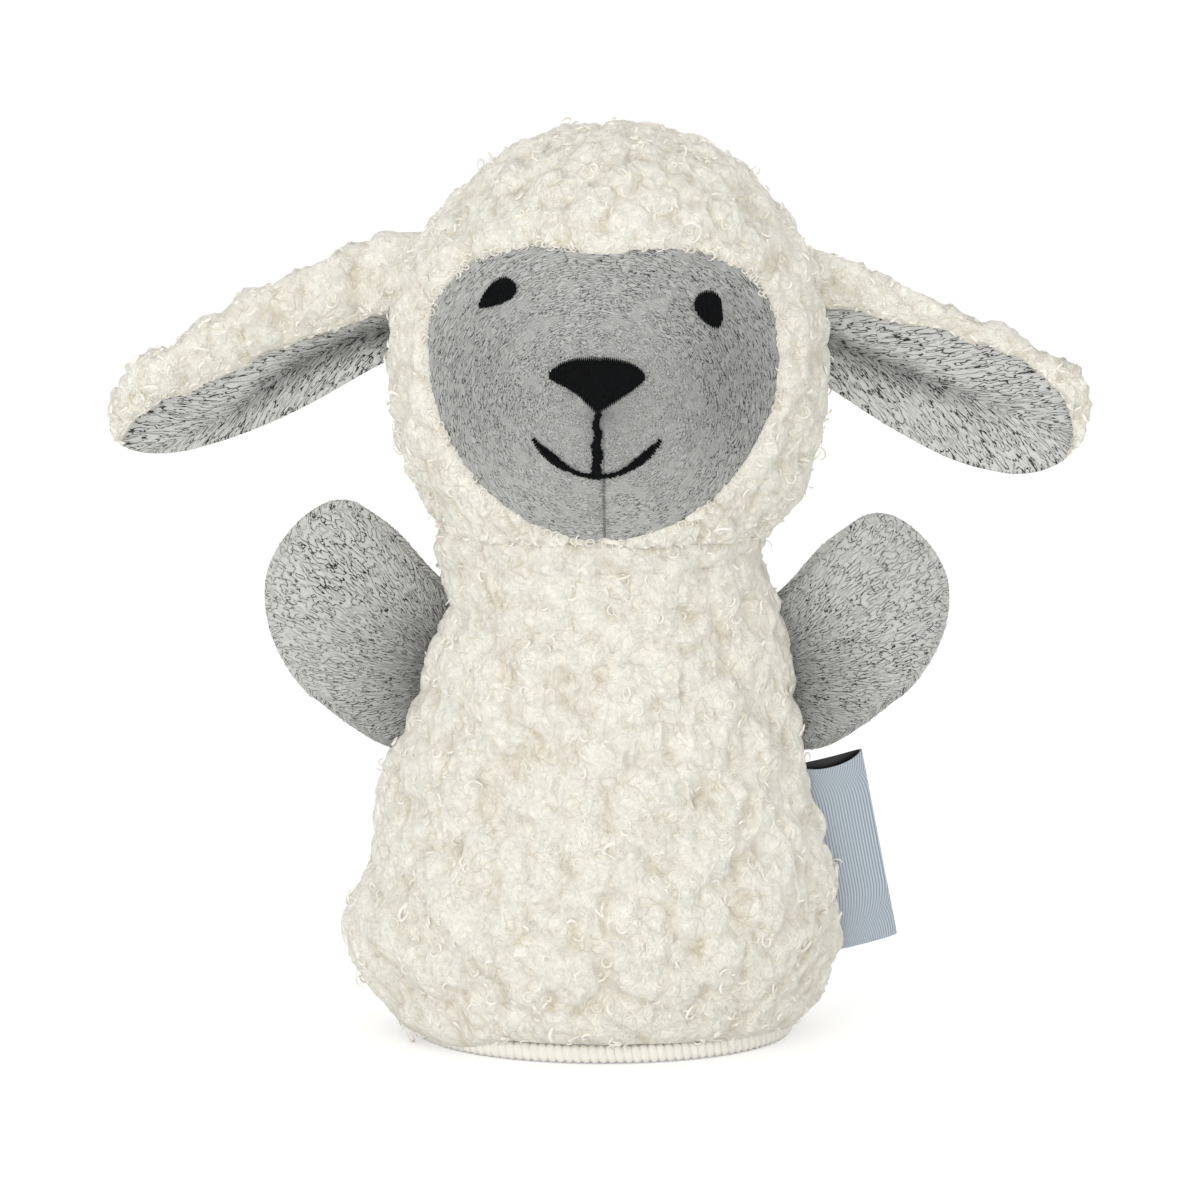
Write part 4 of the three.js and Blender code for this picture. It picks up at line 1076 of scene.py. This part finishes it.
def ear_flow(ear, place):
    """The pile's flow: out along the ear, and from its fold to both edges, less so at its tip."""
    along, across, _ = in_ear(ear, place)
    off, tip_share = across - ear_edges(ear, along)[2], along / ear["tip"]
    spread = np.clip(off / 1.5, -1, 1) * (0.9 - 0.7 * np.clip(tip_share, 0, 1))
    return ear_place(ear, 0.5 + 0.5 * tip_share, spread, 0 * along) - ear_place(ear, 0, 0, 0)


def ear_marks(ear, points):
    """The net of gaps, drawn in painted shade, in cells along and across barbs that run from the fold to both
    edges: close and dark in the fold, wider away from it. The ground in the fold is painted darker as well,
    as its shade."""
    along, across, front = in_ear(ear, points)
    off = across - ear_edges(ear, along)[2]
    wide = np.abs(off) + 1.6 * (1 - np.exp(-np.abs(off) / 1.6))
    # Painted shade in the fold, fading out towards the tip.
    painted_shade = np.exp(-((off / np.where(off > 0, 1.3, 2.6)) ** 2)) * (1 - smooth(12, 34, along))
    rise = front - ear_sheet(ear, along, across)
    return {
        "flow_along": (along * 0.85 + wide * 0.5 + rise) / EAR_GAP_LENGTH,
        "flow_across": (wide * 0.85 - along * 0.5 + rise) / EAR_GAP_WIDTH,
        "gap": np.clip(1.05 + 0.3 * painted_shade + 0.25 * wander(points, 8.0, 67), 0, 1.2),
        "tint": ear_tint(points) - 0.5 * painted_shade,
    }


def fleece_side(ear, middle):
    """Curls grow on an ear's back and its roll, closer beside the lining and at the tip."""
    along, across, front = in_ear(ear, middle)
    beyond = across - ear_edges(ear, along)[1]
    behind = front < ear_sheet(ear, along, across) - 1.2
    return (along > -3) * ((beyond > 0.2) | behind) * (1.6 + 6 * ~behind * (beyond < 1.6) + 3 * (along > 30))


for word, ear in EARS.items():
    body, side = f"{word}_ear", ear["side"]
    fleece_piece(f"{word}_ear_fleece", ear_fleece(ear), body, 50 + side,
                 lambda middle: fleece_side(ear, middle), f"{word}_ear_back")
    outer, inner = ear_lining(ear, 0), ear_lining(ear, LINING_THICKNESS)
    skin = np.concatenate([outer, inner[::-1]])
    part = grid_part(skin, closed_rows=True, caps=True, flip=side < 0, **ear_marks(ear, skin))
    lining_piece = make_piece(f"{word}_ear_velboa", [part], velboa_material, merge=True)
    belongs(lining_piece, body, "velboa", f"{word}_ear_lining")
    brushed_piece(f"{word}_ear_pile", grid_part(outer, flip=side < 0), body, 60 + 2 * side,
                  lambda place: ear_flow(ear, place), ear_tint)


# Paws: two leaves of brushed grey pile sewn round their edge, turned, lightly filled with fibre
# and caught in the sleeve's side seams. The seam lies a little forward, so the back shows round it.
PAW_OUT, PAW_RISE = 29.5, 56.8
PAW_LEAN = math.radians(13.4)
PAW_LINES = {
    # along the paw, its middle and its half width; the right one is a little narrower above
    "left": [(-5.5, -0.6, 12.2), (0, 0.8, 14.1), (6, 3.8, 15.3), (12, 6.4, 15.2), (17, 7.8, 15.0),
             (23.4, 8.2, 14.8)],
    "right": [(-5.5, -1.7, 11.1), (0, -0.5, 12.8), (6, 2.5, 14.0), (12, 5.2, 14.0), (17, 6.8, 14.0),
              (23.4, 7.3, 13.9)],
}
PAW_START, PAW_TIP, PAW_ROUNDING = -5.5, 23.5, 12.5
PAW_MIDDLE, FLOW_ROOT = (9.0, 5.0), (-11, -1)  # along and across the paw, from its root
PAW_HALF, PAW_SKIN, PAW_SEAM = 4.6, 1.3, math.radians(72)
PAW_GAP_LENGTH, PAW_GAP_WIDTH, PAW_RING = 1.9, 0.6, 24.0


def paw_outline(stations, count):
    """A paw's outline along and across its root, as places the same way apart: a leaf that
    leans upwards, with a straight root and a blunt tip."""
    along = PAW_START + (PAW_TIP - PAW_START) * np.sin(np.linspace(0, np.pi / 2, 400))
    stations = np.array(stations).T
    middle, half = (smooth_line(along, stations[0], line) for line in stations[1:])
    half = half * closing(along, PAW_ROUNDING, PAW_TIP, 1.75)
    line = np.concatenate([np.stack([along, middle + half], -1), np.stack([along, middle - half], -1)[::-1]])
    line = np.concatenate([line, line[:1]])
    run = added_up(np.linalg.norm(np.diff(line, axis=0), axis=-1))
    at = np.linspace(0, run[-1], count, endpoint=False)
    return np.stack([np.interp(at, run, across) for across in line.T], -1)


def paw_place(side, outline, angle, shrink):
    """A point of a paw: from its front's middle over the edge to its back's middle as angle goes
    from 0 to pi, inside each place of its outline; thin at the root, grooved along the seam."""
    reach = np.sin(angle) ** 0.8
    depth = signed_power(np.cos(angle), 1.15)
    groove = 0.5 * np.exp(-(((angle - PAW_SEAM) / 0.09) ** 2))
    ray = outline - PAW_MIDDLE
    length = np.linalg.norm(ray, axis=-1, keepdims=True)
    flat = PAW_MIDDLE + ray * (reach * (1 - (shrink + groove) / length))
    front = depth[..., 0] * (PAW_HALF * smooth(-13, 5, flat[..., 0]) - shrink)
    out = PAW_OUT + 0.5 * (side + 1) + flat[..., 0] * math.cos(PAW_LEAN) - flat[..., 1] * math.sin(PAW_LEAN)
    height = PAW_RISE + flat[..., 0] * math.sin(PAW_LEAN) + flat[..., 1] * math.cos(PAW_LEAN)
    return np.stack([side * out, -front, height], -1)


def paw_tint(place):
    return 0.87 + 0.04 * wander(place, 9.0, 76)


def paw_marks(outline, points):
    """The net of gaps, drawn in painted shade, in cells along and across rays from the root, closer and
    darker there, where the paw meets the body; the ground there is painted darker too, as its shade. The
    panel is laid flat for it: each place as far from its middle as the way there is long."""
    run = added_up(np.linalg.norm(np.diff(points, axis=0), axis=-1))[..., None]
    flat = PAW_MIDDLE + unit(outline - PAW_MIDDLE) * run - FLOW_ROOT
    far = np.hypot(flat[..., 0], flat[..., 1])
    # Painted shade near the root, where the paw is caught against the body.
    root = 1 - smooth(8, 24, far)
    return {
        "flow_along": far / PAW_GAP_LENGTH,
        "flow_across": np.arctan2(flat[..., 1], flat[..., 0]) * PAW_RING / PAW_GAP_WIDTH,
        "gap": np.clip(0.8 + 0.4 * root + 0.25 * wander(points, 8.0, 75), 0, 1.2),
        "tint": paw_tint(points) - 0.3 * root,
    }


def paw_flow(side, place):
    """The pile's flow: along rays from a place behind the root."""
    return (place - (side * (PAW_OUT + FLOW_ROOT[0]), 0, PAW_RISE + FLOW_ROOT[1])) / 12


PAW_OUTLINES = {word: paw_outline(stations, 260)[None] for word, stations in PAW_LINES.items()}
for word, side in (("left", -1), ("right", 1)):
    outline, body = PAW_OUTLINES[word], f"{word}_paw"
    for face_word, start, end in (("front", 0.0, PAW_SEAM), ("back", math.pi, PAW_SEAM)):
        angle = np.linspace(start, end, 81)[:, None, None]
        turned = (side > 0) != (face_word == "front")
        outer = paw_place(side, outline, angle, 0)
        skin = np.concatenate([outer, paw_place(side, outline, angle[::-1][::10], PAW_SKIN)])
        part = grid_part(skin, closed_columns=True, flip=turned, **paw_marks(outline, skin))
        panel = make_piece(f"{body}_{face_word}_velboa", [part], velboa_material, merge=True)
        belongs(panel, body, "velboa", f"{body}_{face_word}_panel", fill=0.8)
        brushed_piece(f"{body}_{face_word}_pile", grid_part(outer, closed_columns=True, flip=turned), body,
                      70 + 2 * side, lambda place: paw_flow(side, place), paw_tint)


# Fillings: loose white polyester fibre, teased into soft lumps. It fills the head round the finger
# pocket, and each paw.
POCKET_RADIUS, POCKET_TOP, POCKET_FLOOR = 9.0, 114.0, 78.3
POCKET_WALL, FLOOR_RADIUS = 0.8, 18.4
FIBRE_GAP = 0.5

filling_material = fibre_material(
    "polyester_fibre", 700, colour(228, 228, 224), colour(250, 250, 247), 0.0006,
    Roughness=0.9, Sheen_Weight=0.4, Sheen_Roughness=0.5)


def pocket_profile(radius, top, floor):
    """Radius and height up a round pocket from its floor's edge to the middle of its domed top."""
    angle = np.linspace(0, np.pi / 2, 14)
    wall = np.linspace(floor, top - radius, 16)[:-1]
    return np.concatenate([
        np.stack([np.linspace(FLOOR_RADIUS, radius, 6)[:-1], np.full(5, floor)], -1),
        np.stack([np.full(15, radius), wall], -1),
        np.stack([radius * np.cos(angle), top - radius + radius * np.sin(angle)], -1),
    ])


def revolved(profile, turns):
    radius, height = profile[:, :1], profile[:, 1:]
    return joined(radius * np.cos(turns), radius * np.sin(turns), height)


turn = all_round(120)[None]
floor = POCKET_FLOOR + POCKET_WALL + FIBRE_GAP
ball = head_point(turn, np.linspace(rise_at(floor, 0), np.pi / 2, 70)[:, None], -0.3)
ball = ball + 0.35 * wander(ball, 5, 81)[..., None] * unit(ball - (0, 0, HEAD_MIDDLE))
hollow = revolved(pocket_profile(POCKET_RADIUS + POCKET_WALL + 0.3, POCKET_TOP + 0.4, floor), turn)[::-1]
part = grid_part(np.concatenate([hollow, ball]), closed_columns=True)
filling = make_piece("head_fibre", [part], filling_material, merge=True)
belongs(filling, "head", "filling", "head_filling", fill=0.85)
for word, side in (("left", -1), ("right", 1)):
    angle = np.linspace(0, math.pi, 40)[:, None, None]
    stuffed = paw_place(side, PAW_OUTLINES[word], angle, PAW_SKIN + FIBRE_GAP)
    stuffed = stuffed + 0.25 * wander(stuffed, 4, 83)[..., None] * (0, 1, 0)
    part = grid_part(stuffed, closed_columns=True, flip=side < 0)
    filling = make_piece(f"{word}_paw_fibre", [part], filling_material, merge=True)
    belongs(filling, f"{word}_paw", "filling", f"{word}_paw_filling", fill=0.7)


# Finger pocket: a thin knitted tube with a domed end, sewn into a floor that closes the head. The
# finger that moves the head goes up into it through the sleeve.
tricot_material, tree, shader = new_material("tricot", Roughness=0.85, Sheen_Weight=0.2)
wale = node(tree, "ShaderNodeTexWave", {"Vector": object_place(tree), "Scale": 420.0, "Distortion": 1.0},
            bands_direction="Z").outputs[1]
dyed(tree, shader, wale, colour(222, 214, 200), colour(240, 235, 224))
raised(tree, shader, wale, 0.0001)

outer = revolved(pocket_profile(POCKET_RADIUS + POCKET_WALL, POCKET_TOP, POCKET_FLOOR + POCKET_WALL), turn)
inner = revolved(pocket_profile(POCKET_RADIUS, POCKET_TOP - POCKET_WALL, POCKET_FLOOR), turn)
part = grid_part(np.concatenate([inner[::-1], outer]), closed_columns=True)
pocket = make_piece("knitted_pocket", [part], tricot_material, merge=True)
belongs(pocket, "pocket", "tricot", "finger_pocket")


# Side label: a loop of bare silver-blue woven ribbon, folded at its outer edge and caught in the side seam.
# The back layer stands a little higher, so the loop's inside shows at its top; the inside is painted near
# black, as the shade within the loop.
LABEL_FOOT = (34.8, 12.5)
LABEL_LENGTH, LABEL_REACH, LABEL_LEAN = 29.0, 10.0, math.radians(11)
RIBBON, LABEL_OPENING, LABEL_TURN = 0.4, 1.5, math.radians(16)
RIB_PITCH, LABEL_DIP = 0.45, 1.3


def label_line(share, inset):
    """How far out and how far back the ribbon lies, from the seam along its front to the fold at
    share 0.5 and back along the other side; inset is the ribbon's own thickness."""
    angle = 2 * np.pi * share
    out = (LABEL_REACH - 2 * inset) * (1 - np.cos(angle)) / 2 + inset
    return out, -(LABEL_OPENING - inset) * np.sin(angle) * (0.55 + 0.45 * np.cos(angle) ** 2)


def label_point(share, height, inset):
    """A point of the ribbon loop; its front's top dips, and its outer edge is turned back."""
    out, back = label_line(share, inset)
    dip = LABEL_DIP * np.maximum(np.sin(2 * np.pi * share), 0) ** 1.3
    up = height - dip * smooth(LABEL_LENGTH - 5, LABEL_LENGTH, height)
    back = back + out * math.tan(LABEL_TURN) * (out / LABEL_REACH)
    x = LABEL_FOOT[0] + out * math.cos(LABEL_LEAN) - up * math.sin(LABEL_LEAN)
    z = LABEL_FOOT[1] + out * math.sin(LABEL_LEAN) + up * math.cos(LABEL_LEAN)
    return joined(x, back, z)


ribbon_material, tree, shader = new_material(
    "woven_ribbon", Roughness=0.42, Specular_IOR_Level=0.5, Anisotropic=0.4)
rib = mark(tree, "rib")
ribbed_outside = mixed(tree, rib, colour(132, 144, 156), colour(204, 214, 223))
# Painted shade: the ribbon's inside is near black, and its outside takes the ribs' colours.
dyed(tree, shader, mark(tree, "inside"), ribbed_outside, colour(16, 17, 20))
raised(tree, shader, rib, 0.00005)

share = np.linspace(0, 1, 240, endpoint=False)[None]
height = np.linspace(0, LABEL_LENGTH, 60)[:, None]
outer, inner = label_point(share, height, 0), label_point(share, height[::-1], RIBBON)
bend = 2.2 * np.clip(1 - height / 9, 0, 1) ** 2 + 1.2 * np.clip((height - LABEL_LENGTH + 7) / 7, 0, 1) ** 2
wave = 2 * np.pi * (label_line(share, 0)[0] * (1 + 0.15 * bend) + bend) / RIB_PITCH
# The inside is marked for painted shade.
painted_shade = np.concatenate([np.zeros(outer.shape[:2]), np.ones(inner.shape[:2])])
ribs = np.concatenate([0.5 + 0.5 * np.cos(wave), np.zeros(inner.shape[:2])])
skin = np.concatenate([outer, inner])
part = grid_part(skin, closed_columns=True, closed_rows=True, rib=ribs, inside=painted_shade)
label = make_piece("ribbon_loop", [part], ribbon_material)
belongs(label, "label", "ribbon", "side_label")


# Studio: a white floor and white surroundings, a broad lamp in front on the left, a softer one on
# the right and a faint one above. The object gets less light from the surroundings than they show.
FLOOR_REACH = 3.0
LAMPS = (
    # name, place, size and power
    ("key", (-0.5, -0.85, 0.22), 0.7, 3.25),
    ("fill", (0.6, -0.85, 0.12), 0.8, 1.55),
    ("crown", (0.0, 0.25, 0.95), 0.6, 0.25),
)
AIM = (0, 0, 0.07)


def seen_directly(tree):
    """1 for the camera's rays and for reflections, 0 for the light that falls on the object."""
    path = node(tree, "ShaderNodeLightPath")
    return maths(tree, "MAXIMUM", path.outputs["Is Camera Ray"], path.outputs["Is Glossy Ray"])


floor_mesh = bpy.data.meshes.new("floor")
corners = [(x * FLOOR_REACH, y * FLOOR_REACH, 0) for x, y in ((-1, -1), (1, -1), (1, 1), (-1, 1))]
floor_mesh.from_pydata(corners, [], [(0, 1, 2, 3)])
floor = bpy.data.objects.new("floor", floor_mesh)
bpy.context.scene.collection.objects.link(floor)
floor_material, tree, shader = new_material("floor_white", Roughness=0.9, Base_Color=(0.92, 0.92, 0.92, 1))
strength = maths(tree, "MULTIPLY", seen_directly(tree), 0.32)
glow = node(tree, "ShaderNodeEmission", {"Color": (1, 1, 1, 1), "Strength": strength})
both = node(tree, "ShaderNodeAddShader", {0: shader.outputs[0], 1: glow.outputs[0]})
tree.links.new(both.outputs[0], tree.nodes["Material Output"].inputs[0])
floor_mesh.materials.append(floor_material)

world = bpy.data.worlds.new("studio")
bpy.context.scene.world = world
world.use_nodes = True
tree, sky = world.node_tree, world.node_tree.nodes["Background"]
tree.links.new(ramp(tree, seen_directly(tree), 0.0, 1.0, 0.78, 1.0), sky.inputs["Strength"])
sky.inputs["Color"].default_value = (1, 1, 1, 1)

for name, place, size, power in LAMPS:
    lamp = bpy.data.lights.new(name, "AREA")
    lamp.size, lamp.energy = size, power
    holder = bpy.data.objects.new(name, lamp)
    holder.location = place
    x, y, z = np.subtract(AIM, place)
    holder.rotation_euler = (math.atan2(math.hypot(x, y), -z), 0, math.atan2(y, x) - math.pi / 2)
    bpy.context.scene.collection.objects.link(holder)

bpy.context.scene.view_settings.view_transform = "Standard"
